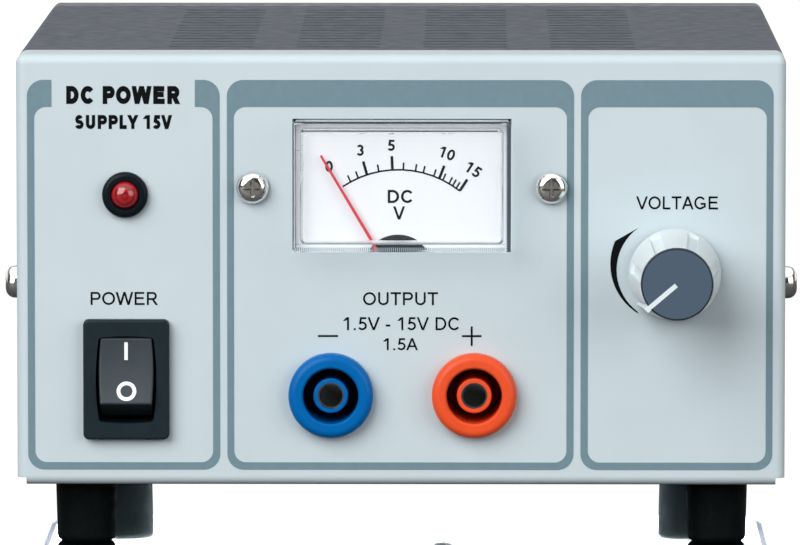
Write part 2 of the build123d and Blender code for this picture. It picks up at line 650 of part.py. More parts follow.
# ---------------------------------------------------------------- knob and potentiometer
knob_front = panel_plane(-KNOB_REACH, *KNOB)
knob_height = KNOB_REACH - KNOB_GAP
with BuildPart() as knob_body:
    with BuildSketch(panel_plane(-KNOB_GAP, *KNOB)) as base_outline:
        Circle(KNOB_BASE_RADIUS)
    with BuildSketch(knob_front) as top_outline:
        Circle(KNOB_TOP_RADIUS)
    loft(Sketch() + [base_outline.sketch, top_outline.sketch])
    for index in range(KNOB_RIBS):
        angle = KNOB_POINTER_ANGLE + index * 360 / KNOB_RIBS
        lean = (KNOB_BASE_RADIUS - KNOB_TOP_RADIUS) / knob_height
        out = Vector(cos(radians(angle)), 0, sin(radians(angle)))
        along = Vector(0, -1, 0)
        # The groove's floor leans in with the body's taper.
        groove_axis = (along - out * lean).normalized()
        foot = Vector(*at(KNOB[0], -KNOB_GAP - 2.0, KNOB[1])) + out * (KNOB_BASE_RADIUS + 0.75)
        groove = Plane(origin=foot, x_dir=out, z_dir=groove_axis)
        block(groove, 3.2, 2.1, 20, mode=Mode.SUBTRACT)
    column(panel_plane(-KNOB_GAP, *KNOB), KNOB_SKIRT_RADIUS, 2.0)
    # The body stops at the seat of the cap, which covers the whole of its front.
    column(knob_front, KNOB_BASE_RADIUS, -CAP_DEPTH, mode=Mode.SUBTRACT)
    # Pointer: a ridge down the side and a bar across the face, through the cap's slot.
    pointer_out = Vector(cos(radians(KNOB_POINTER_ANGLE)), 0, sin(radians(KNOB_POINTER_ANGLE)))
    pointer_plane = Plane(
        origin=at(KNOB[0], -KNOB_GAP, KNOB[1]),
        x_dir=pointer_out,
        z_dir=Vector(0, -1, 0).cross(pointer_out) * -1,
    )
    with BuildSketch(pointer_plane) as ridge:
        Polygon(
            (6.6, 0.0),
            (8.45, 0.0),
            (7.0, knob_height),
            (5.0, knob_height),
            align=None,
        )
    extrude(ridge.sketch, amount=0.5, both=True)
    # The ridge stands clear of the cap's rim.
    column(knob_front, CAP_RADIUS + CAP_GAP, -CAP_DEPTH, mode=Mode.SUBTRACT)
    with BuildSketch(pointer_plane) as bar:
        Polygon(
            (0.2, knob_height - CAP_DEPTH),
            (6.6, knob_height - CAP_DEPTH),
            (6.6, knob_height),
            (0.2, knob_height),
            align=None,
        )
    extrude(bar.sketch, amount=0.4, both=True)
    # Shaft bore and the recess over the bush nut.
    column(panel_plane(0, *KNOB), SHAFT_RADIUS, 14.0, mode=Mode.SUBTRACT)
    column(panel_plane(0, *KNOB), 6.4, 6.0, mode=Mode.SUBTRACT)
keep("knob_body", knob_body.part)

with BuildPart() as knob_cap:
    column(knob_front, CAP_RADIUS, -CAP_DEPTH)
    fillet(knob_cap.edges().filter_by(GeomType.CIRCLE).sort_by(Axis.Y)[0], 0.3)
    with BuildSketch(pointer_plane) as slot:
        Polygon(
            (0.15, knob_height - 2 * CAP_DEPTH),
            (8.0, knob_height - 2 * CAP_DEPTH),
            (8.0, knob_height + CAP_DEPTH),
            (0.15, knob_height + CAP_DEPTH),
            align=None,
        )
    extrude(slot.sketch, amount=0.42, both=True, mode=Mode.SUBTRACT)
keep("knob_cap", knob_cap.part)

with BuildPart() as pot_shaft:
    column(panel_plane(8.0, *KNOB), SHAFT_RADIUS, 22.0)
    column(panel_plane(7.2, *KNOB), 5.0, 2.0)
keep("pot_shaft", pot_shaft.part)

with BuildPart() as pot_body:
    column(panel_plane(9.5, *KNOB), 8.2, 9.5 - SHEET)
    column(panel_plane(3.0, *KNOB), BUSH_RADIUS, 8.0)
    column(panel_plane(8.5, *KNOB), 6.8, 5.0, mode=Mode.SUBTRACT)
    column(panel_plane(8.5, *KNOB), SHAFT_RADIUS + RUNNING_GAP, 20.0, mode=Mode.SUBTRACT)
keep("pot_body", pot_body.part)

with BuildPart() as pot_washer:
    column(panel_plane(0, *KNOB), 5.4, 0.5)
    column(panel_plane(0, *KNOB), BUSH_RADIUS + THREAD_GAP, 0.5, mode=Mode.SUBTRACT)
keep("pot_washer", pot_washer.part)

with BuildPart() as pot_nut:
    hexagon(panel_plane(-0.5, *KNOB), 5.7, 2.2)
    column(panel_plane(-0.5, *KNOB), BUSH_RADIUS + THREAD_GAP, 2.2, mode=Mode.SUBTRACT)
keep("pot_nut", pot_nut.part)

with BuildPart() as pot_tags:
    for shift in (-5.0, 0.0, 5.0):
        tag = panel_plane(6.0, KNOB[0] + shift, KNOB[1] - 11.5)
        block(tag, 1.6, 10.0 if shift == 0 else 13.0, -0.5)
    column(panel_plane(1.0, *KNOB), 8.2, -9.0, mode=Mode.SUBTRACT)
keep("pot_tags", pot_tags.part)

# ---------------------------------------------------------------- rear panel
inlet_back = REAR - INLET_DEPTH
with BuildPart() as mains_inlet:
    with BuildSketch(rear_plane(REAR, *INLET)) as flange:
        RectangleRounded(*INLET_FLANGE, 3.0)
    extrude(flange.sketch, amount=3.0)
    fillet(mains_inlet.faces().sort_by(Axis.Y)[-1].edges(), 0.6)
    body_size = (INLET_CAVITY[0] + 3.0, INLET_CAVITY[1] + 3.0)
    block(rear_plane(inlet_back - 2, *INLET), *body_size, INLET_DEPTH + 2)
    with BuildSketch(rear_plane(inlet_back, *INLET)) as cavity:
        Rectangle(*INLET_CAVITY)
        chamfer(cavity.vertices().group_by(Axis.Z)[-1], 4.0)
    extrude(cavity.sketch, amount=INLET_DEPTH + 5, mode=Mode.SUBTRACT)
    for side in (-1, 1):
        ear = rear_plane(REAR - 1, INLET[0] + side * INLET_SCREW_SPACING / 2, INLET[1])
        column(ear, CLEAR_RADIUS, 5, mode=Mode.SUBTRACT)
    for shift, rise in ((-7.0, -2.0), (7.0, -2.0), (0.0, 2.0)):
        pin_hole = rear_plane(inlet_back - 3, INLET[0] + shift, INLET[1] + rise)
        block(pin_hole, 2.0, 4.0, 4, mode=Mode.SUBTRACT)
keep("mains_inlet", mains_inlet.part)

with BuildPart() as inlet_pins:
    for shift, rise in ((-7.0, -2.0), (7.0, -2.0), (0.0, 2.0)):
        pin = rear_plane(inlet_back - 9, INLET[0] + shift, INLET[1] + rise)
        block(pin, 2.0, 4.0, 9 + INLET_DEPTH - 1)
keep("inlet_pins", inlet_pins.part)

with BuildPart() as inlet_screws:
    with Locations(
        rear_plane(REAR + 3.0, INLET[0] - INLET_SCREW_SPACING / 2, INLET[1]),
        rear_plane(REAR + 3.0, INLET[0] + INLET_SCREW_SPACING / 2, INLET[1]),
    ):
        add(pan_screw(8))
keep("inlet_screws", inlet_screws.part)

FUSE_TUBE = 34.0
with BuildPart() as fuse_holder:
    column(rear_plane(REAR, *FUSE), 7.8, 2.0)
    fillet(fuse_holder.edges().filter_by(GeomType.CIRCLE).sort_by(Axis.Y)[-1], 0.8)
    column(rear_plane(REAR - FUSE_TUBE, *FUSE), 6.0, FUSE_TUBE)
    column(rear_plane(REAR - FUSE_TUBE + 2, *FUSE), 4.6, FUSE_TUBE + 2, mode=Mode.SUBTRACT)
    hexagon(rear_plane(REAR - SHEET - 3, *FUSE), 8.8, 3)
    column(rear_plane(REAR - FUSE_TUBE + 2, *FUSE), 4.6, FUSE_TUBE + 2, mode=Mode.SUBTRACT)
    block(rear_plane(REAR - FUSE_TUBE - 5, *FUSE), 4.0, 0.8, 5)
keep("fuse_holder", fuse_holder.part)

with BuildPart() as fuse_cap:
    column(rear_plane(REAR + 2.05, *FUSE), 5.9, REAR_REACH - 2.05)
    fillet(fuse_cap.edges().filter_by(GeomType.CIRCLE).sort_by(Axis.Y)[-1], 0.6)
    column(rear_plane(REAR - 10, *FUSE), 4.55, 12.2)
    column(rear_plane(REAR - 11, *FUSE), 2.65, 8, mode=Mode.SUBTRACT)
    block(rear_plane(REAR + REAR_REACH - 1.4, *FUSE), 9.0, 1.4, 2, mode=Mode.SUBTRACT)
keep("fuse_cap", fuse_cap.part)

with BuildPart() as fuse_link:
    column(rear_plane(REAR - 25, *FUSE), 2.2, 20)
    column(rear_plane(REAR - 25, *FUSE), 2.6, 5)
    column(rear_plane(REAR - 10, *FUSE), 2.6, 5)
keep("fuse_link", fuse_link.part)

# ---------------------------------------------------------------- transformer
core_x, core_depth = CORE_PLACE
core_width, core_stack, core_height = CORE_SIZE
window_width = (core_width - 4 * CORE_LEG) / 2
window_height = core_height - 2 * CORE_LEG
core_middle = FLOOR + core_height / 2
with BuildPart() as transformer_core:
    core_front = panel_plane(core_depth + core_stack / 2, core_x, core_middle)
    block(core_front, core_width, core_height, core_stack)
    for side in (-1, 1):
        window_x = core_x + side * (CORE_LEG + window_width / 2)
        window_face = panel_plane(core_depth + core_stack / 2, window_x, core_middle)
        block(window_face, window_width, window_height, core_stack, mode=Mode.SUBTRACT)
keep("transformer_core", transformer_core.part)

bobbin_width = 2 * (CORE_LEG + window_width) - 0.6
bobbin_depth = core_stack + 2 * window_width - 0.6
with BuildPart() as transformer_bobbin:
    lowest = level_plane(core_middle - window_height / 2 + 0.1, core_x, core_depth)
    spool_height = window_height - 0.2
    block(lowest, 2 * CORE_LEG + 3, core_stack + 3, spool_height)
    block(lowest, bobbin_width, bobbin_depth, 1.5)
    block(lowest.offset(spool_height - 1.5), bobbin_width, bobbin_depth, 1.5)
    block(lowest.offset(-1), 2 * CORE_LEG + 0.2, core_stack + 0.2, 30, mode=Mode.SUBTRACT)
keep("transformer_bobbin", transformer_bobbin.part)

with BuildPart() as transformer_windings:
    turns = level_plane(core_middle - window_height / 2 + 1.6, core_x, core_depth)
    block(turns, bobbin_width - 1.5, bobbin_depth - 1.5, spool_height - 3)
    fillet(transformer_windings.edges().filter_by(Axis.Z), 3.5)
    block(turns.offset(-1), 2 * CORE_LEG + 3, core_stack + 3, 40, mode=Mode.SUBTRACT)
keep("transformer_windings", transformer_windings.part)

with BuildPart() as transformer_bracket:
    strap_width = 12.0
    strap_half = core_width / 2 + 1.0
    strap_top = FLOOR + core_height
    block(level_plane(strap_top, core_x, core_depth), 2 * strap_half, strap_width, 1.0)
    for side in (-1, 1):
        wall = level_plane(FLOOR, core_x + side * (core_width / 2 + 0.5), core_depth)
        block(wall, 1.0, strap_width, core_height)
        foot_end = BRACKET_FOOT + 4.5
        foot_middle = core_x + side * (core_width / 2 + foot_end) / 2
        block(level_plane(FLOOR, foot_middle, core_depth), foot_end - core_width / 2, strap_width, 1.0)
    for hole_x, hole_depth in bracket_holes:
        column(level_plane(0, hole_x, hole_depth), CLEAR_RADIUS, 5, mode=Mode.SUBTRACT)
keep("transformer_bracket", transformer_bracket.part)

with BuildPart() as transformer_screws:
    seats = [under_plane(0, hole_x, hole_depth) for hole_x, hole_depth in bracket_holes]
    with Locations(*seats):
        add(pan_screw(6))
keep("transformer_screws", transformer_screws.part)

# ---------------------------------------------------------------- circuit board
board_x, board_depth = BOARD_PLACE
board_low = FLOOR + STANDOFF_HEIGHT
with BuildPart() as circuit_board:
    block(level_plane(board_low, board_x, board_depth), *BOARD_SIZE, BOARD_THICKNESS)
    for hole_x, hole_depth in board_holes:
        column(level_plane(board_low, hole_x, hole_depth), CLEAR_RADIUS, 3, mode=Mode.SUBTRACT)
keep("circuit_board", circuit_board.part)

with BuildPart() as board_standoffs:
    for hole_x, hole_depth in board_holes:
        hexagon(level_plane(FLOOR, hole_x, hole_depth), 3.0, STANDOFF_HEIGHT)
        bore = level_plane(FLOOR, hole_x, hole_depth)
        column(bore, SCREW_RADIUS + THREAD_GAP, STANDOFF_HEIGHT, mode=Mode.SUBTRACT)
keep("board_standoffs", board_standoffs.part)

with BuildPart() as board_screws:
    seats = [level_plane(BOARD_TOP, hole_x, hole_depth) for hole_x, hole_depth in board_holes]
    seats += [under_plane(0, hole_x, hole_depth) for hole_x, hole_depth in board_holes]
    with Locations(*seats):
        add(pan_screw(4.2))
keep("board_screws", board_screws.part)

with BuildPart() as main_capacitor:
    column(level_plane(BOARD_TOP, board_x - 6, board_depth - 18), 11.0, 36)
    fillet(main_capacitor.edges().filter_by(GeomType.CIRCLE), 0.8)
keep("main_capacitor", main_capacitor.part)

with BuildPart() as bridge_rectifier:
    bridge_seat = level_plane(BOARD_TOP + 4, board_x - 8, board_depth + 8)
    block(bridge_seat, 15, 5, 15)
    for shift in (-5.4, -1.8, 1.8, 5.4):
        column(level_plane(BOARD_TOP, board_x - 8 + shift, board_depth + 8), 0.45, 4.2)
keep("bridge_rectifier", bridge_rectifier.part)

SINK_DEPTH = board_depth + 28
with BuildPart() as heat_sink:
    sink_seat = level_plane(BOARD_TOP, board_x, SINK_DEPTH - 5)
    block(sink_seat, 30, 2.5, 40)
    for index in range(7):
        fin_x = board_x - 13.5 + index * 4.5
        block(level_plane(BOARD_TOP, fin_x, SINK_DEPTH + 0.5), 1.4, 10, 40)
keep("heat_sink", heat_sink.part)

with BuildPart() as regulator:
    tab_face = panel_plane(SINK_DEPTH - 6.25, board_x, BOARD_TOP + 26)
    block(tab_face, 10.2, 6.0, 1.3)
    block(panel_plane(SINK_DEPTH - 6.25, board_x, BOARD_TOP + 18.5), 10.2, 9.0, 4.5)
    for shift in (-2.54, 0.0, 2.54):
        leg = level_plane(BOARD_TOP, board_x + shift, SINK_DEPTH - 8.6)
        block(leg, 0.9, 0.5, 14.2)
keep("regulator", regulator.part)

# ---------------------------------------------------------------- nuts
with BuildPart() as nuts:
    seats = []
    for hole_x, hole_depth in foot_places:
        seats.append(level_plane(FLOOR, hole_x, hole_depth))
    for hole_x, hole_depth in bracket_holes:
        seats.append(level_plane(FLOOR + 1.0, hole_x, hole_depth))
    for place in meter_screw_places:
        seats.append(rear_plane(2.0, *place))
    for side in (-1, 1):
        inlet_x = INLET[0] + side * INLET_SCREW_SPACING / 2
        seats.append(panel_plane(REAR - SHEET, inlet_x, INLET[1]))
    with Locations(*seats):
        add(hex_nut())
keep("nuts", nuts.part)

# ---------------------------------------------------------------- leads
with BuildPart() as lamp_leads:
    for shift in (-1.27, 1.27):
        legs = [
            at(LAMP[0] + shift, 9.0, LAMP[1]),
            at(LAMP[0] + shift, 24.0, LAMP[1]),
            at(LAMP[0] + shift + 8, 34.0, LAMP[1] - 14),
            at(LAMP[0] + shift + 30, 40.0, LAMP[1] - 22 + shift),
        ]
        add(lead(legs, 0.5, [7.0, 8.0]))
keep("lamp_leads", lamp_leads.part)

with BuildPart() as output_leads:
    for (socket_x, socket_z), rise, end_depth in zip(socket_places.values(), (-4, 4), (56.0, 51.5)):
        run = [
            at(socket_x, 22.9, socket_z - 8.5),
            at(socket_x, 33.0, socket_z - 8.5),
            at(socket_x + 5, 43.0, socket_z - 3 + rise),
            at(15.0, end_depth, socket_z - 1 + rise),
        ]
        add(lead(run, 0.9, [7.0, 6.0]))
keep("output_leads", output_leads.part)

with BuildPart() as mains_leads:
    for rise, pin_shift in ((-6.5, 7.0), (0.0, -7.0)):
        height = SWITCH[1] + rise
        run = [
            at(SWITCH[0], SWITCH_DEPTH + 8.05, height),
            at(SWITCH[0], SWITCH_DEPTH + 22, height),
            at(SWITCH[0] - 11.5, 62.0, height + 2),
            at(SWITCH[0] - 11.5, 98.0, height + 4),
            at(INLET[0] + pin_shift, inlet_back - 9.05 - 8, INLET[1] - 2 + 0.3 * rise),
            at(INLET[0] + pin_shift, inlet_back - 9.05, INLET[1] - 2 + 0.3 * rise),
        ]
        add(lead(run, 1.1, [14.0, 14.0, 12.0, 6.0]))
keep("mains_leads", mains_leads.part)

os.makedirs("parts", exist_ok=True)
for name, part in pieces.items():
    export_step(part, f"parts/{name}.step")
print(len(pieces), "pieces")
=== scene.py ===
"""Looks of the bench power supply: its panel print, its markings, the meter's dial and every material.

Lengths are in millimetres until a mesh is made, in metres. A place on the front is (across, height): across
from the middle of the case, right positive, and up from the underside of the case.
"""

import json
from math import asin, atan2, cos, hypot, pi, radians, sin, sqrt

import bpy
from mathutils import Euler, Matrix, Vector
from mathutils.geometry import delaunay_2d_cdt, tessellate_polygon


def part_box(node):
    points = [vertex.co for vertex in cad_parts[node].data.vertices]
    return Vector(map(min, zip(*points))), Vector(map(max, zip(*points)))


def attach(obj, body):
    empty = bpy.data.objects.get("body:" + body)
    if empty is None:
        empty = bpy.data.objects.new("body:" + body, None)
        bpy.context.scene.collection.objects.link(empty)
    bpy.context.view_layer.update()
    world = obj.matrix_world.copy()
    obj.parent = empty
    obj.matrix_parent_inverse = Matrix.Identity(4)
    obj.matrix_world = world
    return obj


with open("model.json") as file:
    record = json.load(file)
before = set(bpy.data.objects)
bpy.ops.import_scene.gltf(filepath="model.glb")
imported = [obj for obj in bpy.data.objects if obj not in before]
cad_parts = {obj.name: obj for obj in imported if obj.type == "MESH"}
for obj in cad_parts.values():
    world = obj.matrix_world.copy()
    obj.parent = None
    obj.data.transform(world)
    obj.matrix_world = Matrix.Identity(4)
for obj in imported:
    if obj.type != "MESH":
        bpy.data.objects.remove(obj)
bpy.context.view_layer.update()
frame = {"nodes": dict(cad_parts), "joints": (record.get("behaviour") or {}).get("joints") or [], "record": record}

MM = 0.001
ROOT = "case"

# ---------------------------------------------------------------- places read from the frame
case_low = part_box("chassis")[0]
FRONT = case_low.y
UNDER = case_low.z


def spot(across, height, depth=0.0):
    """The point, in metres, that far across, up and behind the face of the front panel."""
    return Vector((across * MM, FRONT + depth * MM, UNDER + height * MM))


def middle_of(node):
    """(across, height) of the middle of a CAD node, in millimetres."""
    low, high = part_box(node)
    return (low.x + high.x) / 2 / MM, ((low.z + high.z) / 2 - UNDER) / MM


def depth_of(node):
    """How far behind the face of the front panel a CAD node's front is, in millimetres."""
    return (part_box(node)[0].y - FRONT) / MM


def joint_anchor(name):
    """(across, height, depth) of the point that a joint turns about, in millimetres."""
    place = next(joint for joint in frame["joints"] if joint["name"] == name)["pos_m"]
    return place[0] / MM, (place[2] - UNDER) / MM, (place[1] - FRONT) / MM


# ---------------------------------------------------------------- flat shapes: (points, faces)
ARC_STEP = radians(6)


def arc(centre, radius, start, end):
    """Points along an arc, ends included, with angles in radians."""
    count = max(2, round(abs(end - start) / ARC_STEP))
    points = []
    for index in range(count + 1):
        angle = start + (end - start) * index / count
        points.append((centre[0] + radius * cos(angle), centre[1] + radius * sin(angle)))
    return points


def bow(first, last, bulge):
    """Points along an arc from first to last that stands out by bulge to the right of its direction."""
    chord = hypot(last[0] - first[0], last[1] - first[1])
    radius = (chord * chord / 4 + bulge * bulge) / (2 * bulge)
    along = ((last[0] - first[0]) / chord, (last[1] - first[1]) / chord)
    left = (-along[1], along[0])
    centre = (
        (first[0] + last[0]) / 2 + left[0] * (radius - bulge),
        (first[1] + last[1]) / 2 + left[1] * (radius - bulge),
    )
    half = asin(min(1.0, chord / 2 / radius))
    middle = atan2(-left[1], -left[0])
    return arc(centre, radius, middle - half, middle + half)


def corner_points(left, right, bottom, top, radius):
    """A rounded rectangle's corners as arcs, anticlockwise from the top right."""
    points = []
    for quarter, (x, y) in enumerate(
        (
            (right - radius, top - radius),
            (left + radius, top - radius),
            (left + radius, bottom + radius),
            (right - radius, bottom + radius),
        )
    ):
        points.append(arc((x, y), radius, quarter * pi / 2, (quarter + 1) * pi / 2))
    return points


def patch(outline):
    """A filled outline."""
    triangles = tessellate_polygon([[Vector((x, y, 0)) for x, y in outline]])
    return list(outline), [tuple(triangle) for triangle in triangles]


def band(one_side, other_side, closed=False):
    """A strip between two rows of as many points."""
    count = len(one_side)
    faces = []
    for index in range(count if closed else count - 1):
        following = (index + 1) % count
        faces.append((index, following, count + following, count + index))
    return list(one_side) + list(other_side), faces


def bar(start, end, width):
    """A straight bar."""
    length = hypot(end[0] - start[0], end[1] - start[1])
    aside = ((start[1] - end[1]) / length * width / 2, (end[0] - start[0]) / length * width / 2)
    left = [(x + aside[0], y + aside[1]) for x, y in (start, end)]
    right = [(x - aside[0], y - aside[1]) for x, y in (start, end)]
    return band(left, right)


def together(*shapes):
    """Several flat shapes as one."""
    points, faces = [], []
    for more_points, more_faces in shapes:
        shift = len(points)
        points.extend(more_points)
        faces.extend(tuple(index + shift for index in face) for face in more_faces)
    return points, faces


def area_of(points, face):
    """Signed area of a face, positive where it runs anticlockwise."""
    total = 0.0
    for here, following in zip(face, face[1:] + face[:1]):
        total += points[here][0] * points[following][1] - points[following][0] * points[here][1]
    return total / 2


def united(*shapes):
    """Overlapping flat shapes as one, without the lines inside it."""
    points, faces = together(*shapes)
    faces = [face if area_of(points, face) > 0 else face[::-1] for face in faces]
    corners = [Vector(point) for point in points]
    inside_only = 1
    places, _, made, _, _, sources = delaunay_2d_cdt(corners, [], faces, inside_only, 1e-5)
    kept = [tuple(face) for face, source in zip(made, sources) if source]
    return [tuple(place) for place in places], kept


# ---------------------------------------------------------------- plain lettering, drawn with a pen
def slant(start, end, pen):
    """A straight stroke whose ends are cut level."""
    reach = pen * hypot(end[0] - start[0], end[1] - start[1]) / abs(end[1] - start[1])
    return band([(x - reach, y) for x, y in (start, end)], [(x + reach, y) for x, y in (start, end)])


def level(left, right, height, pen):
    """A level stroke."""
    return band([(left, height + pen), (right, height + pen)], [(left, height - pen), (right, height - pen)])


def curl(centre, radii, start, end, pen):
    """A stroke along part of an oval, with angles in degrees."""
    rows = []
    for change in (pen, -pen):
        wide, high = radii[0] + change, radii[1] + change
        circle = arc((0, 0), 1.0, radians(start), radians(end))
        rows.append([(centre[0] + x * wide, centre[1] + y * high) for x, y in circle])
    return band(*rows)


def letter(character, pen):
    """(advance, strokes) of a letter or digit one unit high, for a pen of that half width."""
    top, waist = 1 - pen, 0.5
    stem = 0.11 + pen
    post = slant((stem, 0), (stem, 1), pen)
    bowl_y, bowl_r = (top + 0.46) / 2, (top - 0.46) / 2
    bowl = [
        level(stem, 0.56, top, pen),
        level(stem, 0.56, 0.46, pen),
        curl((0.56, bowl_y), (bowl_r, bowl_r), -90, 90, pen),
    ]
    upper, lower = ((0.505 + top) / 2, (top - 0.505) / 2), ((0.505 + pen) / 2, (0.505 - pen) / 2)
    round_letter = (0.52, waist), (0.46 - pen, waist - pen)
    shapes = {
        " ": (0.39, []),
        ".": (0.39, [level(0.12, 0.12 + 2 * pen, pen, pen)]),
        "-": (0.47, [level(0.06, 0.41, 0.36, pen)]),
        "A": (0.93, [
            slant((pen, 0), (0.465, 1), pen),
            slant((0.93 - pen, 0), (0.465, 1), pen),
            level(0.2, 0.73, 0.33, pen),
        ]),
        "C": (1.01, [curl(*round_letter, 38, 322, pen)]),
        "D": (1.01, [
            post,
            level(stem, 0.46, top, pen),
            level(stem, 0.46, pen, pen),
            curl((0.46, waist), (0.47 - pen, waist - pen), -90, 90, pen),
        ]),
        "E": (0.93, [
            post,
            level(stem, 0.84, top, pen),
            level(stem, 0.8, 0.53, pen),
            level(stem, 0.87, pen, pen),
        ]),
        "G": (1.09, [
            curl(*round_letter, 38, 318, pen),
            slant((0.97 - pen, 0.14), (0.97 - pen, 0.5), pen),
            level(0.56, 0.97, 0.5 - pen, pen),
        ]),
        "L": (0.78, [post, level(stem, 0.72, pen, pen)]),
        "O": (1.09, [curl((0.545, waist), (0.49 - pen, waist - pen), 0, 360, pen)]),
        "P": (0.93, [post, *bowl]),
        "R": (1.01, [post, *bowl, slant((0.94 - pen, 0), (0.54, 0.46), pen)]),
        "S": (0.93, [
            curl((0.465, upper[0]), (0.33 - pen, upper[1]), 25, 270, pen),
            curl((0.465, lower[0]), (0.38 - pen, lower[1]), -155, 90, pen),
        ]),
        "T": (0.86, [level(0.04, 0.82, top, pen), slant((0.43, 0), (0.43, 1), pen)]),
        "U": (1.01, [
            slant((stem, 0.36), (stem, 1), pen),
            slant((1.01 - stem, 0.36), (1.01 - stem, 1), pen),
            curl((0.505, 0.36), (0.505 - stem, 0.36 - pen), 180, 360, pen),
        ]),
        "V": (0.93, [slant((0.465, 0), (pen, 1), pen), slant((0.465, 0), (0.93 - pen, 1), pen)]),
        "W": (1.32, [
            slant((0.36, 0), (pen, 1), pen),
            slant((0.36, 0), (0.66, 1), pen),
            slant((0.96, 0), (0.66, 1), pen),
            slant((0.96, 0), (1.32 - pen, 1), pen),
        ]),
        "Y": (0.93, [
            slant((0.465, 0.4), (pen, 1), pen),
            slant((0.465, 0.4), (0.93 - pen, 1), pen),
            slant((0.465, 0), (0.465, 0.46), pen),
        ]),
        "0": (0.78, [curl((0.39, waist), (0.34 - pen, waist - pen), 0, 360, pen)]),
        "1": (0.78, [slant((0.46, 0), (0.46, 1), pen), slant((0.18, 0.72), (0.42, 0.97), pen)]),
        "3": (0.78, [
            curl((0.38, upper[0]), (0.3 - pen, upper[1]), -90, 155, pen),
            curl((0.38, lower[0]), (0.33 - pen, lower[1]), -155, 90, pen),
        ]),
        "5": (0.78, [
            level(0.2, 0.68, top, pen),
            slant((0.13 + pen, 0.46), (0.2 + pen, 1), pen),
            curl((0.37, 0.33), (0.35 - pen, 0.33 - pen), -150, 130, pen),
        ]),
    }
    return shapes[character]


def words(text, middle, height, width, pen, turn=0.0):
    """Lettering about its middle, in its own proportions if width is None. turn is clockwise, in degrees."""
    strokes, along = [], 0.0
    for character in text:
        advance, drawn = letter(character, pen)
        for points, faces in drawn:
            strokes.append(([(x + along, y) for x, y in points], faces))
        along += advance
    points, faces = united(*strokes)
    low = [min(point[axis] for point in points) for axis in (0, 1)]
    high = [max(point[axis] for point in points) for axis in (0, 1)]
    rise = height / (high[1] - low[1])
    spread = width / (high[0] - low[0]) if width else rise
    angle = -radians(turn)
    placed = []
    for x, y in points:
        x = (x - (low[0] + high[0]) / 2) * spread
        y = (y - (low[1] + high[1]) / 2) * rise
        across = middle[0] + x * cos(angle) - y * sin(angle)
        placed.append((across, middle[1] + x * sin(angle) + y * cos(angle)))
    return placed, faces


# ---------------------------------------------------------------- pieces
INK_PROUD = 0.04
INK_SUNK = 0.03


def on_panel(x, y, lift):
    """A point of print on the front panel."""
    return spot(x, y, -lift)


def add_piece(name, vertices, faces, material, body):
    """A mesh piece that rides on a body and takes its finish from a slot."""
    mesh = bpy.data.meshes.new(name)
    mesh.from_pydata(vertices, [], faces)
    mesh.validate()
    mesh.materials.append(material)
    piece = bpy.data.objects.new(name, mesh)
    bpy.context.scene.collection.objects.link(piece)
    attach(piece, body)
    return piece


def print_on(name, shape, material, surface=on_panel, body=ROOT):
    """A flat shape as a thin closed solid that lies on a surface, facing out of it."""
    points, faces = shape
    faces = [face if area_of(points, face) > 0 else face[::-1] for face in faces]
    edges = {(here, there) for face in faces for here, there in zip(face, face[1:] + face[:1])}
    count = len(points)
    vertices = [surface(x, y, lift) for lift in (INK_PROUD, -INK_SUNK) for x, y in points]
    solid = list(faces)
    solid += [tuple(index + count for index in face[::-1]) for face in faces]
    for here, there in sorted(edges):
        if (there, here) not in edges:
            solid.append((here, here + count, there + count, there))
    return add_piece(name, vertices, solid, material, body)


# ---------------------------------------------------------------- materials
def srgb(red, green, blue):
    """Linear colour of an sRGB colour given from 0 to 255."""
    linear = []
    for value in (red, green, blue):
        value /= 255
        linear.append(value / 12.92 if value <= 0.04045 else ((value + 0.055) / 1.055) ** 2.4)
    return tuple(linear)


def shaded(colour, amount):
    """A colour made that many times as bright."""
    return tuple(min(1.0, part * amount) for part in colour)


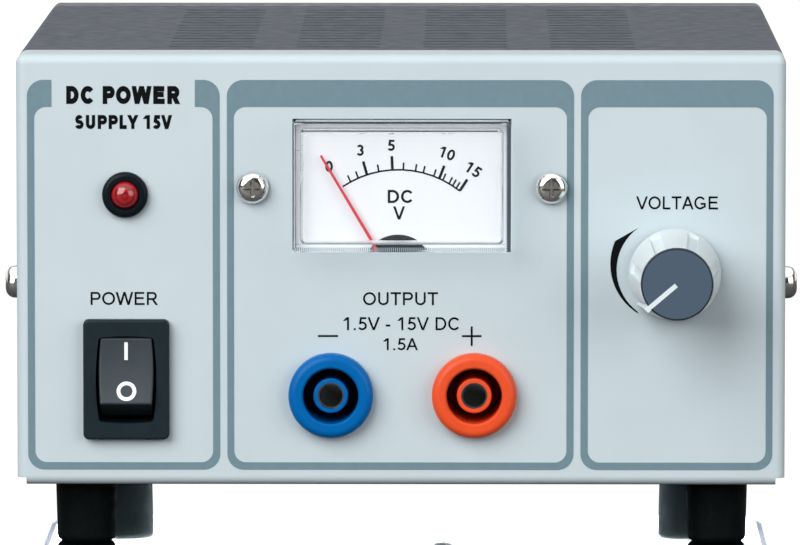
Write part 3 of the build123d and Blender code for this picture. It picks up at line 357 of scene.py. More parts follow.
class Finish:
    """A procedural material. Its patterns lie in object space, with sizes in millimetres."""

    def __init__(self, name, colour, roughness, metallic=0.0):
        self.material = bpy.data.materials.new(name)
        self.material.use_nodes = True
        self.tree = self.material.node_tree
        self.shader = self.tree.nodes["Principled BSDF"]
        self.place = self.node("ShaderNodeTexCoord").outputs["Object"]
        self.colour = colour
        self.colour_source = None
        self.normal_source = None
        self.set("Base Color", (*colour, 1.0))
        self.set("Roughness", roughness)
        self.set("Metallic", metallic)

    def node(self, kind):
        return self.tree.nodes.new(kind)

    def join(self, source, target):
        self.tree.links.new(source, target)

    def set(self, socket, value):
        self.shader.inputs[socket].default_value = value
        return self

    def stretched(self, stretch):
        """Object coordinates scaled along each axis."""
        mapping = self.node("ShaderNodeMapping")
        mapping.inputs["Scale"].default_value = stretch
        self.join(self.place, mapping.inputs["Vector"])
        return mapping.outputs["Vector"]

    def noise(self, size, detail=3.0, stretch=None):
        """Noise with features of that size."""
        texture = self.node("ShaderNodeTexNoise")
        texture.inputs["Scale"].default_value = 1 / (size * MM)
        texture.inputs["Detail"].default_value = detail
        self.join(self.stretched(stretch) if stretch else self.place, texture.inputs["Vector"])
        return texture.outputs["Fac"]

    def cells(self, size, feature="F1"):
        """Distance within random cells of that size."""
        texture = self.node("ShaderNodeTexVoronoi")
        texture.feature = feature
        texture.inputs["Scale"].default_value = 1 / (size * MM)
        self.join(self.place, texture.inputs["Vector"])
        return texture.outputs["Distance"]

    def stripes(self, pitch, axis, waver=0.0):
        """Even stripes of that pitch across an axis."""
        texture = self.node("ShaderNodeTexWave")
        texture.bands_direction = axis
        # A wave of scale 1 repeats every 2 pi / 20 units.
        texture.inputs["Scale"].default_value = 2 * pi / 20 / (pitch * MM)
        texture.inputs["Distortion"].default_value = waver
        self.join(self.place, texture.inputs["Vector"])
        return texture.outputs["Fac"]

    def rings(self, centre, pitch, waver=0.0):
        """Rings round an axis that runs front to rear through a point."""
        mapping = self.node("ShaderNodeMapping")
        mapping.inputs["Location"].default_value = -centre
        self.join(self.place, mapping.inputs["Vector"])
        texture = self.node("ShaderNodeTexWave")
        texture.wave_type = "RINGS"
        texture.rings_direction = "Y"
        texture.inputs["Scale"].default_value = 2 * pi / 20 / (pitch * MM)
        texture.inputs["Distortion"].default_value = waver
        self.join(mapping.outputs["Vector"], texture.inputs["Vector"])
        return texture.outputs["Fac"]

    def from_axis(self, centre):
        """Distance, in metres, from an axis that runs front to rear through a point."""
        mapping = self.node("ShaderNodeMapping")
        mapping.inputs["Location"].default_value = (-centre.x, 0.0, -centre.z)
        mapping.inputs["Scale"].default_value = (1.0, 0.0, 1.0)
        self.join(self.place, mapping.inputs["Vector"])
        length = self.node("ShaderNodeVectorMath")
        length.operation = "LENGTH"
        self.join(mapping.outputs["Vector"], length.inputs[0])
        return length.outputs["Value"]

    def along(self, axis):
        """The coordinate along an axis, in metres."""
        split = self.node("ShaderNodeSeparateXYZ")
        self.join(self.place, split.inputs["Vector"])
        return split.outputs[axis]

    def past(self, axis, place):
        """1 beyond that place along an axis, in metres, and 0 before it."""
        return self.ranged(self.along(axis), 0.0, 1.0, place - 0.1 * MM, place + 0.1 * MM)

    def both(self, first, second):
        """1 only where two patterns are both 1."""
        product = self.node("ShaderNodeMath")
        product.operation = "MULTIPLY"
        self.join(first, product.inputs[0])
        self.join(second, product.inputs[1])
        return product.outputs["Value"]

    def ranged(self, source, low, high, start=0.3, end=0.7):
        """A pattern's values from start to end, spread from low to high."""
        span = self.node("ShaderNodeMapRange")
        for socket, value in (("From Min", start), ("From Max", end), ("To Min", low), ("To Max", high)):
            span.inputs[socket].default_value = value
        self.join(source, span.inputs["Value"])
        return span.outputs["Result"]

    def mottle(self, source, other, low=0.0, high=1.0, start=0.3, end=0.7):
        """Mixes another colour in where a pattern is high."""
        mix = self.node("ShaderNodeMix")
        mix.data_type = "RGBA"
        self.join(self.ranged(source, low, high, start, end), mix.inputs["Factor"])
        if self.colour_source:
            self.join(self.colour_source, mix.inputs["A"])
        else:
            mix.inputs["A"].default_value = (*self.colour, 1.0)
        mix.inputs["B"].default_value = (*other, 1.0)
        self.colour_source = mix.outputs["Result"]
        self.join(self.colour_source, self.shader.inputs["Base Color"])
        return self

    def uneven(self, source, smoothest, roughest):
        """Roughness that follows a pattern."""
        self.join(self.ranged(source, smoothest, roughest), self.shader.inputs["Roughness"])
        return self

    def relief(self, source, depth, strength=1.0):
        """Bumps that follow a pattern, depth millimetres high."""
        bump = self.node("ShaderNodeBump")
        bump.inputs["Distance"].default_value = depth * MM
        bump.inputs["Strength"].default_value = strength
        self.join(source, bump.inputs["Height"])
        if self.normal_source:
            self.join(self.normal_source, bump.inputs["Normal"])
        self.normal_source = bump.outputs["Normal"]
        self.join(self.normal_source, self.shader.inputs["Normal"])
        return self

    def lets_light_in(self, tint):
        """Light from outside passes straight in, as it does through thin clear plastic."""
        path = self.node("ShaderNodeLightPath")
        either = self.node("ShaderNodeMath")
        either.operation = "MAXIMUM"
        clear = self.node("ShaderNodeBsdfTransparent")
        clear.inputs["Color"].default_value = (*tint, 1.0)
        mix = self.node("ShaderNodeMixShader")
        output = self.tree.nodes["Material Output"]
        self.join(path.outputs["Is Shadow Ray"], either.inputs[0])
        self.join(path.outputs["Is Diffuse Ray"], either.inputs[1])
        self.join(either.outputs["Value"], mix.inputs["Fac"])
        self.join(self.shader.outputs["BSDF"], mix.inputs[1])
        self.join(clear.outputs["BSDF"], mix.inputs[2])
        self.join(mix.outputs["Shader"], output.inputs["Surface"])
        return self


def powder_coat(name, colour, roughness, peel, gloss):
    """Baked paint with orange peel of that size."""
    finish = Finish(name, colour, roughness)
    finish.mottle(finish.noise(14, 2), shaded(colour, 0.965))
    finish.uneven(finish.noise(3.0), roughness - 0.05, roughness + 0.07)
    finish.relief(finish.noise(peel, 2), 0.02, 0.35)
    finish.set("Specular IOR Level", gloss)
    return finish


COVER_COLOUR = srgb(58, 66, 77)


def case_paint():
    """Pale paint on the front and the base, and the cover's dark grey on the rear panel and its flanges."""
    finish = powder_coat("case_paint", (0.56, 0.65, 0.69), 0.42, 0.9, 0.3)
    rear = finish.both(finish.past("Y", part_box("cover")[1].y), finish.past("Z", UNDER + 1.2 * MM))
    return finish.mottle(rear, COVER_COLOUR, start=0.0, end=1.0)


def moulded(name, colour, roughness, fade=1.25, gloss=0.3):
    """Moulded plastic with a spark-eroded skin and faint flow marks."""
    finish = Finish(name, colour, roughness)
    finish.mottle(finish.noise(6, 3, (1, 1, 0.35)), shaded(colour, fade))
    finish.uneven(finish.noise(1.6), roughness - 0.06, roughness + 0.08)
    finish.relief(finish.noise(0.25, 3), 0.012, 0.5)
    finish.set("Specular IOR Level", gloss)
    return finish


def plated(name, colour, roughness, wear=0.7, brush=(1, 1, 1)):
    """Plated metal with fine rubbing marks and duller patches."""
    finish = Finish(name, colour, roughness, 1.0)
    finish.mottle(finish.noise(1.8, 5), shaded(colour, wear), high=0.7, start=0.5, end=0.8)
    finish.uneven(finish.noise(0.9, 4, brush), roughness * 0.7, roughness * 1.5)
    finish.relief(finish.noise(0.18, 4, brush), 0.008, 0.5)
    return finish


def zinc_plate():
    """Zinc-plated sheet with a faint spangle and a cool passivated tint."""
    finish = plated("zinc", (0.60, 0.62, 0.65), 0.3, 0.8)
    finish.mottle(finish.cells(2.4), (0.50, 0.53, 0.60), high=0.5, start=0.1, end=0.8)
    return finish


def rubber():
    """Black moulded rubber, dusty on its grain."""
    finish = Finish("rubber", srgb(3, 9, 11), 0.7)
    finish.set("Specular IOR Level", 0.08)
    finish.mottle(finish.noise(0.8, 5), srgb(14, 22, 25), high=0.6, start=0.5, end=0.85)
    finish.uneven(finish.noise(2.0), 0.5, 0.75)
    finish.relief(finish.noise(0.3, 4), 0.03, 0.6)
    return finish


def clear_moulding():
    """Clear polystyrene with the faintest moulding ripple."""
    finish = Finish("clear_moulding", (0.985, 0.995, 1.0), 0.02)
    finish.set("Transmission Weight", 1.0).set("IOR", 1.52)
    finish.relief(finish.noise(9, 1), 0.02, 0.25)
    finish.uneven(finish.noise(5), 0.01, 0.04)
    return finish.lets_light_in((0.99, 0.995, 1.0))


def tinted_lens(centre):
    """Red clear plastic with rings moulded behind it."""
    finish = Finish("lens", srgb(204, 34, 42), 0.12)
    finish.set("Transmission Weight", 0.35).set("IOR", 1.49).set("Coat Weight", 0.6)
    finish.mottle(finish.rings(centre, 1.1), srgb(128, 8, 18), high=0.6)
    finish.uneven(finish.noise(1.0), 0.08, 0.2)
    finish.relief(finish.rings(centre, 1.1), 0.05, 0.4)
    return finish


def glass_tube():
    """Clear glass of the fuse."""
    finish = Finish("fuse_glass", (0.86, 0.91, 0.9), 0.03)
    finish.set("Transmission Weight", 0.9).set("IOR", 1.5)
    finish.uneven(finish.noise(2.0), 0.02, 0.08)
    return finish.lets_light_in((0.9, 0.93, 0.92))


def dial_card():
    """White lacquered dial plate."""
    finish = Finish("dial", srgb(250, 252, 255), 0.5)
    finish.mottle(finish.noise(10, 2), srgb(246, 249, 253))
    finish.uneven(finish.noise(2.0), 0.42, 0.6)
    finish.relief(finish.noise(0.4, 2), 0.01, 0.3)
    return finish


def ink(name, colour, gloss=0.3):
    """Screen-printed ink with slightly uneven cover."""
    finish = Finish(name, colour, 0.5)
    finish.set("Specular IOR Level", gloss)
    finish.mottle(finish.noise(1.2, 4), shaded(colour, 1.12), high=0.7)
    finish.uneven(finish.noise(0.7), 0.42, 0.6)
    finish.relief(finish.noise(0.25, 3), 0.006, 0.5)
    return finish


def knob_cap_finish(centre, shade_radius):
    """Satin blue-grey cap with the faintest turned rings, and a dark edge of painted shade, for the shadow in the
    gap round the cap, from that radius out.
    """
    colour = srgb(74, 90, 106)
    finish = Finish("knob_cap", colour, 0.42)
    finish.set("Specular IOR Level", 0.2)
    finish.mottle(finish.rings(centre, 0.5, 0.6), shaded(colour, 1.04), high=0.6)
    # Painted shade: a dark ring round the cap's edge, for the shadow in the gap between the cap and the knob's
    # body.
    finish.mottle(finish.from_axis(centre), srgb(34, 45, 54), start=shade_radius, end=shade_radius + 0.1 * MM)
    finish.uneven(finish.noise(1.0), 0.36, 0.52)
    finish.relief(finish.rings(centre, 0.5), 0.003, 0.3)
    finish.relief(finish.noise(0.3, 3), 0.008, 0.35)
    return finish


def laminations():
    """Varnished silicon-steel sheets stacked front to rear."""
    finish = Finish("laminations", (0.20, 0.19, 0.18), 0.45, 0.75)
    finish.mottle(finish.stripes(0.5, "Y", 0.3), (0.09, 0.085, 0.08))
    finish.mottle(finish.noise(5, 4), (0.19, 0.11, 0.06), high=0.5, start=0.5)
    finish.uneven(finish.noise(1.5), 0.35, 0.6)
    finish.relief(finish.stripes(0.5, "Y", 0.3), 0.08, 0.6)
    return finish


def winding_tape():
    """Layers of yellow polyester tape."""
    finish = Finish("tape", srgb(214, 168, 46), 0.3)
    finish.mottle(finish.stripes(6.5, "Z", 0.4), srgb(176, 132, 34), high=0.7, start=0.75, end=0.95)
    finish.mottle(finish.noise(4, 3), srgb(196, 150, 52))
    finish.uneven(finish.noise(2.5), 0.22, 0.45)
    finish.relief(finish.noise(2.0, 3, (1, 1, 3)), 0.08, 0.6)
    return finish


def board_laminate():
    """Solder mask over copper tracks."""
    finish = Finish("board", srgb(28, 92, 48), 0.35)
    finish.mottle(finish.cells(5.0, "DISTANCE_TO_EDGE"), srgb(52, 128, 66), start=0.09, end=0.12)
    finish.uneven(finish.noise(1.5), 0.28, 0.45)
    finish.relief(finish.cells(5.0, "DISTANCE_TO_EDGE"), 0.03, 0.5)
    return finish


def shrink_sleeve():
    """Dark blue sleeve with the pale stripe that marks the negative side."""
    finish = Finish("sleeve", srgb(30, 42, 74), 0.25)
    angle = finish.node("ShaderNodeTexGradient")
    angle.gradient_type = "RADIAL"
    mapping = finish.node("ShaderNodeMapping")
    low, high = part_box("main_capacitor")
    mapping.inputs["Location"].default_value = -(low + high) / 2
    finish.join(finish.place, mapping.inputs["Vector"])
    finish.join(mapping.outputs["Vector"], angle.inputs["Vector"])
    finish.mottle(angle.outputs["Fac"], srgb(196, 204, 214), start=0.86, end=0.87)
    finish.uneven(finish.noise(3.0), 0.2, 0.35)
    finish.relief(finish.noise(5.0, 2), 0.08, 0.4)
    return finish


def extruded_aluminium():
    """Extruded bar with drawing lines up it."""
    finish = plated("aluminium", (0.36, 0.36, 0.37), 0.4, 0.8, (1, 1, 0.06))
    finish.relief(finish.noise(0.5, 3, (1, 1, 0.02)), 0.03, 0.5)
    return finish


def enamelled_wire():
    """Coil of fine enamelled copper wire."""
    finish = Finish("enamelled_wire", (0.60, 0.25, 0.10), 0.3, 0.9)
    finish.mottle(finish.stripes(0.16, "Y", 0.2), (0.30, 0.10, 0.04))
    finish.uneven(finish.noise(0.5), 0.25, 0.4)
    finish.relief(finish.stripes(0.16, "Y"), 0.05, 0.7)
    return finish


def insulation():
    """PVC lead covering with a faint drawn grain."""
    finish = Finish("insulation", srgb(64, 66, 74), 0.42)
    finish.mottle(finish.noise(3.0, 3), srgb(46, 48, 54))
    finish.uneven(finish.noise(1.2), 0.35, 0.5)
    finish.relief(finish.noise(0.5, 3), 0.02, 0.4)
    return finish


knob_centre = spot(*middle_of("knob_cap"), depth_of("knob_cap"))
cap_low, cap_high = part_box("knob_cap")
# Width of the ring of painted shade round the cap's edge, in millimetres.
CAP_SHADE_WIDTH = 0.35
cap_shade_radius = (cap_high.x - cap_low.x) / 2 - CAP_SHADE_WIDTH * MM
lamp_centre = spot(*middle_of("lamp_lens"), depth_of("lamp_lens"))
FINISHES = {
    "case_paint": case_paint(),
    "cover_paint": powder_coat("cover_paint", COVER_COLOUR, 0.5, 0.7, 0.12),
    "zinc_steel": zinc_plate(),
    "plated_screw": plated("bright_plate", (0.86, 0.85, 0.81), 0.12, 0.7),
    "foot_rubber": rubber(),
    "switch_plastic": moulded("switch_plastic", srgb(24, 36, 42), 0.42, gloss=0.15),
    "rocker_plastic": moulded("rocker_plastic", srgb(50, 58, 63), 0.4, gloss=0.25),
    "tin_plate": plated("tin_plate", (0.70, 0.70, 0.66), 0.35, 0.75, (1, 0.2, 1)),
    "black_plastic": moulded("black_plastic", srgb(8, 18, 24), 0.35, gloss=0.12),
    "red_lens": tinted_lens(lamp_centre),
    "clear_plastic": clear_moulding(),
    "dial_white": dial_card(),
    "needle_red": ink("needle_red", srgb(212, 58, 74)),
    "copper": enamelled_wire(),
    "magnet_iron": plated("magnet_iron", (0.16, 0.16, 0.17), 0.55, 0.6),
    "blue_plastic": moulded("blue_plastic", srgb(0, 100, 172), 0.3, fade=0.92, gloss=0.12),
    "red_plastic": moulded("red_plastic", srgb(234, 84, 44), 0.3, fade=0.94, gloss=0.2),
    "nickel_brass": plated("nickel", (0.26, 0.28, 0.28), 0.15, 0.8),
    "knob_grey": moulded("knob_grey", srgb(224, 233, 236), 0.38, fade=0.96),
    "cap_grey": knob_cap_finish(knob_centre, cap_shade_radius),
    "black_moulding": moulded("black_moulding", srgb(30, 32, 35), 0.4),
    "glass_tube": glass_tube(),
    "core_iron": laminations(),
    "bobbin_plastic": moulded("nylon", srgb(226, 218, 196), 0.45, fade=0.93),
    "winding_tape": winding_tape(),
    "board_laminate": board_laminate(),
    "capacitor_sleeve": shrink_sleeve(),
    "sink_aluminium": extruded_aluminium(),
    "lead_insulation": insulation(),
}
for subpart in frame["record"]["subparts"]:
    cad_node = frame["nodes"][subpart["node"]]
    if not cad_node.material_slots:
        cad_node.data.materials.append(None)
    for material_slot in cad_node.material_slots:
        material_slot.material = FINISHES[subpart["material_slot"]].material

BORDER_INK = ink("border_ink", srgb(108, 133, 143)).material
BLACK_INK = ink("black_ink", srgb(7, 10, 12), 0.08).material
WHITE_INK = ink("white_ink", srgb(240, 244, 246)).material
# Painted shade: dark strips in the meter's clear front, where its walls look dark.
EDGE_SHADE_PAINT = ink("edge_shade", srgb(56, 72, 82)).material
# Painted shade: grey bars that stand for the light and dark of the ribs along the meter's bottom edge.
RIB_SHADE_PAINT = ink("rib_shade", srgb(142, 156, 165)).material

# ---------------------------------------------------------------- borders printed on the panel
BORDER_BOTTOM = (2.69, 4.01)
BORDER_TOP = (70.92, 66.18)
BORDER_RADII = (2.85, 2.05)
BORDERS = {
    "left": ((-65.06, -31.51), (-63.80, -32.77)),
    "middle": ((-30.27, 30.13), (-29.07, 28.88)),
    "right": ((31.33, 64.81), (32.62, 63.62)),
}
TITLE_GAP = (-60.77, -35.84)


def flatten(corners):
    """The points of several arcs as one row."""
    return [point for corner in corners for point in corner]


for name, (outer, inner) in BORDERS.items():
    rows = []
    for (left, right), bottom, top, radius in zip((outer, inner), BORDER_BOTTOM, BORDER_TOP, BORDER_RADII):
        top_right, top_left, bottom_left, bottom_right = corner_points(left, right, bottom, top, radius)
        if name == "left":
            # The top bar stops on each side of the title.
            row = flatten((top_left, bottom_left, bottom_right, top_right))
            rows.append([(TITLE_GAP[0], top)] + row + [(TITLE_GAP[1], top)])
        else:
            rows.append(flatten((top_right, top_left, bottom_left, bottom_right)))
    shape = band(*rows, closed=name != "left")
    print_on(f"border_{name}", shape, BORDER_INK)

# ---------------------------------------------------------------- lettering on the panel
TITLE_PEN = 0.15
SUBTITLE_PEN = 0.14
LABEL_PEN = 0.075
switch_x = middle_of("switch_housing")[0]
socket_middle = (middle_of("negative_socket")[0] + middle_of("positive_socket")[0]) / 2
knob_x, knob_height = joint_anchor("knob_turn")[:2]
LABELS = {
    "title": ("DC POWER", (-48.29, 68.27), 3.14, 19.83, TITLE_PEN),
    "subtitle": ("SUPPLY 15V", (-48.23, 63.56), 2.44, 16.88, SUBTITLE_PEN),
    "power": ("POWER", (switch_x - 0.35, 32.72), 2.28, 11.75, LABEL_PEN),
    "output": ("OUTPUT", (socket_middle - 0.36, 32.72), 2.28, 13.07, LABEL_PEN),
    "range": ("1.5V - 15V DC", (socket_middle - 0.28, 28.34), 2.28, 20.22, LABEL_PEN),
    "current": ("1.5A", (socket_middle - 0.37, 24.75), 2.1, 6.1, LABEL_PEN),
    "voltage": ("VOLTAGE", (knob_x + 0.37, 49.51), 2.28, 14.26, LABEL_PEN),
}
for name, (text, place, height, width, pen) in LABELS.items():
    print_on(f"label_{name}", words(text, place, height, width, pen), BLACK_INK)

SIGN_STROKE = 0.35
MINUS, MINUS_LENGTH = (-12.70, 26.17), 3.49
PLUS, PLUS_LENGTH = (12.35, 26.17), 3.42
minus_shape = bar(
    (MINUS[0] - MINUS_LENGTH / 2, MINUS[1]), (MINUS[0] + MINUS_LENGTH / 2, MINUS[1]), SIGN_STROKE
)
print_on("sign_minus", minus_shape, BLACK_INK)
half, stroke = PLUS_LENGTH / 2, SIGN_STROKE / 2
plus_outline = []
for quarter in range(4):
    turn = quarter * pi / 2
    for x, y in ((half, -stroke), (half, stroke), (stroke, stroke)):
        plus_outline.append(
            (PLUS[0] + x * cos(turn) - y * sin(turn), PLUS[1] + x * sin(turn) + y * cos(turn))
        )
print_on("sign_plus", patch(plus_outline), BLACK_INK)

# A wedge round the knob that widens towards the higher voltage.
WEDGE_TIP = (-6.35, 8.1)
WEDGE_CORNER = (-10.4, 5.8)
WEDGE_END_OUTER = (-6.28, -6.96)
WEDGE_END_INNER = (-6.45, -6.55)
WEDGE_OUTER_BULGE = 2.52
WEDGE_INNER_BULGE = 3.73
outer_edge = bow(WEDGE_CORNER, WEDGE_END_OUTER, WEDGE_OUTER_BULGE)
inner_edge = bow(WEDGE_TIP, WEDGE_END_INNER, WEDGE_INNER_BULGE)[::-1]
wedge = [(knob_x + x, knob_height + y) for x, y in outer_edge + inner_edge]
print_on("level_wedge", patch(wedge), BLACK_INK)

# ---------------------------------------------------------------- meter dial
DIAL_DEPTH = depth_of("meter_dial")
PIVOT = joint_anchor("needle_swing")[:2]
SCALE_CENTRE = (-0.46, 37.80)
SCALE_RADIUS = 17.30
SCALE_STROKE = 0.3
MAJOR = (2.4, 0.48)
MINOR = (1.25, 0.3)
# Degrees right of upright of each volt mark. The scale is cramped at its top end, as the meter's is.
VOLT_MARKS = (
    -29.5, -24.8, -20.5, -15.8, -9.7, -2.8, 2.6, 8.7, 12.7, 18.2, 21.2, 23.2, 26.8, 28.9, 31.1, 33.3
)
MAJOR_VOLTS = (0, 3, 5, 10, 15)
DIGITS = {
    0: ((-12.53, 55.67), 0.0),
    3: ((-7.1, 58.5), 0.0),
    5: ((-1.7, 59.36), 0.0),
    10: ((8.0, 57.95), 20.0),
    15: ((12.55, 55.15), 33.0),
}
DIGIT_HEIGHT = 1.95
DIGIT_PEN = 0.1
UNIT_HEIGHT = 2.3
UNIT_PEN = 0.09


def on_dial(x, y, lift):
    """A point of print on the dial plate."""
    return spot(x, y, DIAL_DEPTH - lift)


def scale_mark(degrees, beyond):
    """The point beyond the scale's arc on the needle's line, at that angle right of upright."""
    along = (sin(radians(degrees)), cos(radians(degrees)))
    offset = (PIVOT[0] - SCALE_CENTRE[0], PIVOT[1] - SCALE_CENTRE[1])
    forward = along[0] * offset[0] + along[1] * offset[1]
    reach = sqrt(forward**2 - offset[0] ** 2 - offset[1] ** 2 + SCALE_RADIUS**2) - forward + beyond
    return PIVOT[0] + reach * along[0], PIVOT[1] + reach * along[1]


ends = []
for degrees in (VOLT_MARKS[0], VOLT_MARKS[-1]):
    x, y = scale_mark(degrees, 0)
    ends.append(atan2(y - SCALE_CENTRE[1], x - SCALE_CENTRE[0]))
scale_arc = band(
    arc(SCALE_CENTRE, SCALE_RADIUS + SCALE_STROKE / 2, *ends),
    arc(SCALE_CENTRE, SCALE_RADIUS - SCALE_STROKE / 2, *ends),
)
marks = [scale_arc]
for volts, degrees in enumerate(VOLT_MARKS):
    length, stroke = MAJOR if volts in MAJOR_VOLTS else MINOR
    if volts:
        marks.append(bar(scale_mark(degrees, 0), scale_mark(degrees, length), stroke))
print_on("dial_scale", united(*marks), BLACK_INK, on_dial)
digits = []
for volts, (place, turn) in DIGITS.items():
    digits.append(words(str(volts), place, DIGIT_HEIGHT, None, DIGIT_PEN, turn))
print_on("dial_digits", together(*digits), BLACK_INK, on_dial)
units = [
    words("DC", (-0.16, 50.42), UNIT_HEIGHT, 4.3, UNIT_PEN),
    words("V", (-0.33, 47.53), UNIT_HEIGHT, 2.1, UNIT_PEN),
]
print_on("dial_units", together(*units), BLACK_INK, on_dial)

# ---------------------------------------------------------------- painted shade for the walls and ribs of the meter's clear front
WINDOW_DEPTH = 0.5
EDGE_DEPTH = depth_of("meter_cover") + WINDOW_DEPTH
EDGE_LEFT, EDGE_RIGHT = -18.75, 19.12
EDGE_BOTTOM, EDGE_TOP = 41.45, 63.98
INNER_TOP = 62.47
RIB_PITCH = 0.42
RIB_WIDTH = 0.18
LOWER_RIB_PITCH = RIB_PITCH * 0.8
# Heights above the bottom edge of each lower rib's painted shading and of the dot over it.
LOWER_RIB = (0.05, 0.75)
LOWER_DOT = (1.22, 1.42)
# The strip of painted shade down the right edge has a tooth for each rib. A tooth reaches that far from the edge,
# and its tip and its upper end are that far above its start.
STRIP_WIDTH = 0.62
TOOTH_REACH = 0.92
TOOTH_TIP = 0.1
TOOTH_END = 0.28


def in_window(x, y, lift):
    """A point within the thickness of the meter's front."""
    return spot(x, y, EDGE_DEPTH - lift)


strip_side = EDGE_RIGHT - STRIP_WIDTH
comb = [(strip_side, EDGE_TOP), (EDGE_RIGHT, EDGE_TOP), (EDGE_RIGHT, EDGE_BOTTOM)]
for index in range(round((EDGE_TOP - EDGE_BOTTOM) / RIB_PITCH)):
    y = EDGE_BOTTOM + index * RIB_PITCH
    comb += [(strip_side, y), (EDGE_RIGHT - TOOTH_REACH, y + TOOTH_TIP), (strip_side, y + TOOTH_END)]
shade_lines = together(
    patch(comb),
    bar((EDGE_LEFT + 0.1, EDGE_BOTTOM + 0.3), (EDGE_LEFT + 0.1, EDGE_TOP - 0.2), 0.22),
    bar((EDGE_LEFT + 0.5, EDGE_BOTTOM + 0.6), (EDGE_LEFT + 0.5, EDGE_TOP - 0.5), 0.1),
    bar((EDGE_LEFT + 0.3, EDGE_TOP), (EDGE_RIGHT - 0.65, EDGE_TOP), 0.25),
    bar((EDGE_LEFT + 1.4, INNER_TOP), (EDGE_RIGHT - 2.3, INNER_TOP), 0.25),
)
# Painted shade: dark strips along the meter's edges and under the top of its window.
print_on("meter_edge_shade", shade_lines, EDGE_SHADE_PAINT, in_window)
# Painted shade: grey bars and dots that stand for the light and dark of the moulded ribs along the bottom edge.
rib_shades = []
x = EDGE_LEFT + 0.4
while x < EDGE_RIGHT - 1.0:
    for low, high in (LOWER_RIB, LOWER_DOT):
        rib_shades.append(bar((x, EDGE_BOTTOM + low), (x, EDGE_BOTTOM + high), RIB_WIDTH))
    x += LOWER_RIB_PITCH
print_on("meter_rib_shading", together(*rib_shades), RIB_SHADE_PAINT, in_window)

# ---------------------------------------------------------------- rocker marks
ROCKER_TILT = radians(11.0)
ROCKER_DISH_RADIUS = 30.75
ROCKER_DISH_BOTTOM = 8.05
ROCKER_MARK_RISE = 3.5
rocker_height, rocker_depth = joint_anchor("switch_rock")[1:]


def on_rocker(x, y, lift):
    """A point of print on the rocker's dished face, y up it from the middle."""
    out = ROCKER_DISH_BOTTOM + ROCKER_DISH_RADIUS - sqrt(ROCKER_DISH_RADIUS**2 - y**2) + lift
    height = rocker_height + y * cos(ROCKER_TILT) + out * sin(ROCKER_TILT)
    depth = rocker_depth + y * sin(ROCKER_TILT) - out * cos(ROCKER_TILT)
    return spot(x, height, depth)


# Width and height of the on mark, and outer and inner radius of the off mark.
ON_MARK = (0.6, 3.05)
ON_STEPS = 8
OFF_MARK = (1.72, 1.06)
steps = [ROCKER_MARK_RISE + ON_MARK[1] * (index / ON_STEPS - 0.5) for index in range(ON_STEPS + 1)]
on_sides = [[(switch_x + side * ON_MARK[0] / 2, y) for y in steps] for side in (-1, 1)]
on_shape = band(*on_sides)
off_centre = (switch_x + 0.1, -ROCKER_MARK_RISE)
off_rings = [arc(off_centre, radius, 0, 2 * pi)[:-1] for radius in OFF_MARK]
off_shape = band(*off_rings, closed=True)
print_on("mark_on", on_shape, WHITE_INK, on_rocker, "rocker")
print_on("mark_off", off_shape, WHITE_INK, on_rocker, "rocker")

# ---------------------------------------------------------------- floor, light and camera
FLOOR_PALE = (1.0, 1.0, 1.0)
FLOOR_BOUNCE = 0.06
FLOOR_GLOSS = 1.0
# The floor shows its glow where it is seen from above, and its gloss where it is seen at a low angle.
FLOOR_LEAST_GLOSS = 0.05
FLOOR_FACING = (0.2, 0.85)


def light_table():
    """A glossy pale acrylic sheet, lit evenly from below, that gives little of its light to the object."""
    finish = Finish("light_table", shaded(FLOOR_PALE, FLOOR_BOUNCE), 0.7)
    tree = finish.tree
    path = finish.node("ShaderNodeLightPath")
    glow = finish.node("ShaderNodeEmission")
    glow.inputs["Color"].default_value = (*FLOOR_PALE, 1.0)
    gloss = finish.node("ShaderNodeBsdfGlossy")
    gloss.inputs["Color"].default_value = (*FLOOR_PALE, 1.0)
    gloss.inputs["Roughness"].default_value = 0.03
    facing = finish.node("ShaderNodeLayerWeight")
    sheet = finish.node("ShaderNodeMixShader")
    weight = finish.ranged(facing.outputs["Facing"], FLOOR_LEAST_GLOSS, FLOOR_GLOSS, *FLOOR_FACING)
    finish.join(weight, sheet.inputs["Fac"])
    finish.join(glow.outputs["Emission"], sheet.inputs[1])
    finish.join(gloss.outputs["BSDF"], sheet.inputs[2])
    shown = finish.node("ShaderNodeMixShader")
    finish.join(path.outputs["Is Camera Ray"], shown.inputs["Fac"])
    finish.join(finish.shader.outputs["BSDF"], shown.inputs[1])
    finish.join(sheet.outputs["Shader"], shown.inputs[2])
    finish.join(shown.outputs["Shader"], tree.nodes["Material Output"].inputs["Surface"])
    return finish.material


FLOOR_HALF = 6.0
floor_corners = [(x * FLOOR_HALF, y * FLOOR_HALF, 0) for x, y in ((-1, -1), (1, -1), (1, 1), (-1, 1))]
floor_mesh = bpy.data.meshes.new("floor")
floor_mesh.from_pydata(floor_corners, [], [(0, 1, 2, 3)])
floor_mesh.materials.append(light_table())
floor = bpy.data.objects.new("floor", floor_mesh)
bpy.context.scene.collection.objects.link(floor)

# The studio has a bright low backdrop behind the object, and a bright ceiling that only glosses show.
STUDIO_DIM = 0.25
GLOSS_DIM = 0.04
BACKDROP = 1.05
CEILING = 1.3
world = bpy.data.worlds.new("studio")
world.use_nodes = True
sky = world.node_tree


def sky_node(kind, *sources):
    """A node of the world, fed in order."""
    made = sky.nodes.new(kind)
    for source, target in zip(sources, made.inputs):
        sky.links.new(source, target)
    return made


def sky_range(source, start, end, low, high):
    """A value's run from start to end, spread from low to high."""
    made = sky_node("ShaderNodeMapRange", source)
    for socket, value in (("From Min", start), ("From Max", end), ("To Min", low), ("To Max", high)):
        made.inputs[socket].default_value = value
    return made.outputs["Result"]


def sky_maths(operation, first, second):
    """Two values joined by an operation."""
    made = sky_node("ShaderNodeMath", first, second)
    made.operation = operation
    return made.outputs["Value"]


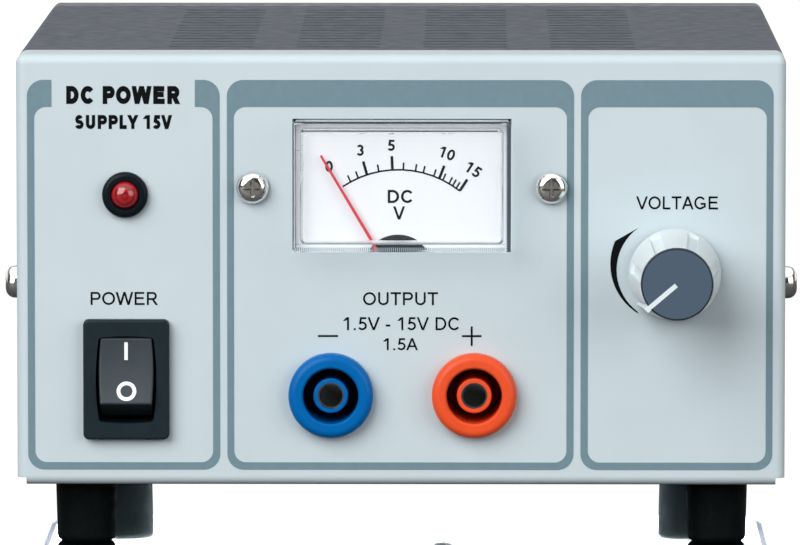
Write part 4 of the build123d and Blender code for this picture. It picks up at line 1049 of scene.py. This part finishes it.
direction = sky_node("ShaderNodeTexCoord").outputs["Generated"]
heading = sky_node("ShaderNodeSeparateXYZ", direction).outputs
behind = sky_range(heading["Y"], 0.0, 0.5, 0.0, BACKDROP)
low_down = sky_range(heading["Z"], 0.3, 0.5, 1.0, 0.0)
backdrop = sky_maths("MULTIPLY", behind, low_down)
ceiling = sky_range(heading["Z"], 0.55, 0.7, 0.0, CEILING)
diffuse_sky = sky_range(backdrop, 0.0, BACKDROP, STUDIO_DIM, BACKDROP)
gloss_sky = sky_range(sky_maths("MAXIMUM", backdrop, ceiling), 0.0, CEILING, GLOSS_DIM, CEILING)
is_gloss = sky_node("ShaderNodeLightPath").outputs["Is Glossy Ray"]
strength = sky_node("ShaderNodeMix", is_gloss)
sky.links.new(diffuse_sky, strength.inputs["A"])
sky.links.new(gloss_sky, strength.inputs["B"])
sky.links.new(strength.outputs["Result"], sky.nodes["Background"].inputs["Strength"])
sky.nodes["Background"].inputs["Color"].default_value = (1.0, 1.0, 1.0, 1.0)
bpy.context.scene.world = world

SUBJECT = spot(0, 40, 30)


def soft_box(name, place, size, energy):
    """A square lamp that faces the object."""
    lamp = bpy.data.lights.new(name, "AREA")
    lamp.size = size
    lamp.energy = energy
    holder = bpy.data.objects.new(name, lamp)
    holder.location = place
    holder.rotation_euler = (SUBJECT - holder.location).to_track_quat("-Z", "Y").to_euler()
    bpy.context.scene.collection.objects.link(holder)


soft_box("key", Vector((-0.80, -1.20, 0.85)), 1.4, 31.0)
soft_box("fill", Vector((1.1, -1.1, 0.4)), 1.2, 12.0)

# The sheet's own light, where it reaches the underside of the case. It is excluded from the feet.
GLOW_SIZE = (0.134, 0.05)
GLOW_ENERGY = 0.3
GLOW_DEPTH = 114.0
GLOW_HEIGHT = 0.001
glow_lamp = bpy.data.lights.new("under_glow", "AREA")
glow_lamp.shape = "RECTANGLE"
glow_lamp.size, glow_lamp.size_y = GLOW_SIZE
glow_lamp.energy = GLOW_ENERGY
under_glow = bpy.data.objects.new("under_glow", glow_lamp)
under_glow.location = spot(0, 0, GLOW_DEPTH) + Vector((0, 0, GLOW_HEIGHT - UNDER))
under_glow.rotation_euler = (pi, 0, 0)
under_glow.visible_camera = False
bpy.context.scene.collection.objects.link(under_glow)
shaded_feet = bpy.data.collections.new("shaded_feet")
for node in ("front_feet", "rear_feet"):
    shaded_feet.objects.link(frame["nodes"][node])
for item in shaded_feet.collection_objects:
    item.light_linking.link_state = "EXCLUDE"
under_glow.light_linking.receiver_collection = shaded_feet

VIEW_PITCH = 5.453
VIEW_YAW = 0.50
VIEW_DISTANCE = 1.559
VIEW_LENS = 402.75
VIEW_MIDDLE = (-0.15, 37.3)
camera_data = bpy.data.cameras.new("camera")
camera_data.lens = VIEW_LENS
camera_data.sensor_width = 36.0
camera_data.clip_start = 0.05
camera_data.clip_end = 50.0
camera = bpy.data.objects.new("camera", camera_data)
camera.rotation_euler = Euler((radians(90 - VIEW_PITCH), 0, radians(VIEW_YAW)))
view_axis = camera.rotation_euler.to_matrix() @ Vector((0, 0, -1))
camera.location = spot(*VIEW_MIDDLE) - view_axis * VIEW_DISTANCE
bpy.context.scene.collection.objects.link(camera)
bpy.context.scene.camera = camera
bpy.context.scene.view_settings.view_transform = "Standard"
# Light already passes clear plastic as shadow rays, so it isn't counted again as caustics.
bpy.context.scene.cycles.caustics_refractive = False
bpy.context.scene.cycles.caustics_reflective = False
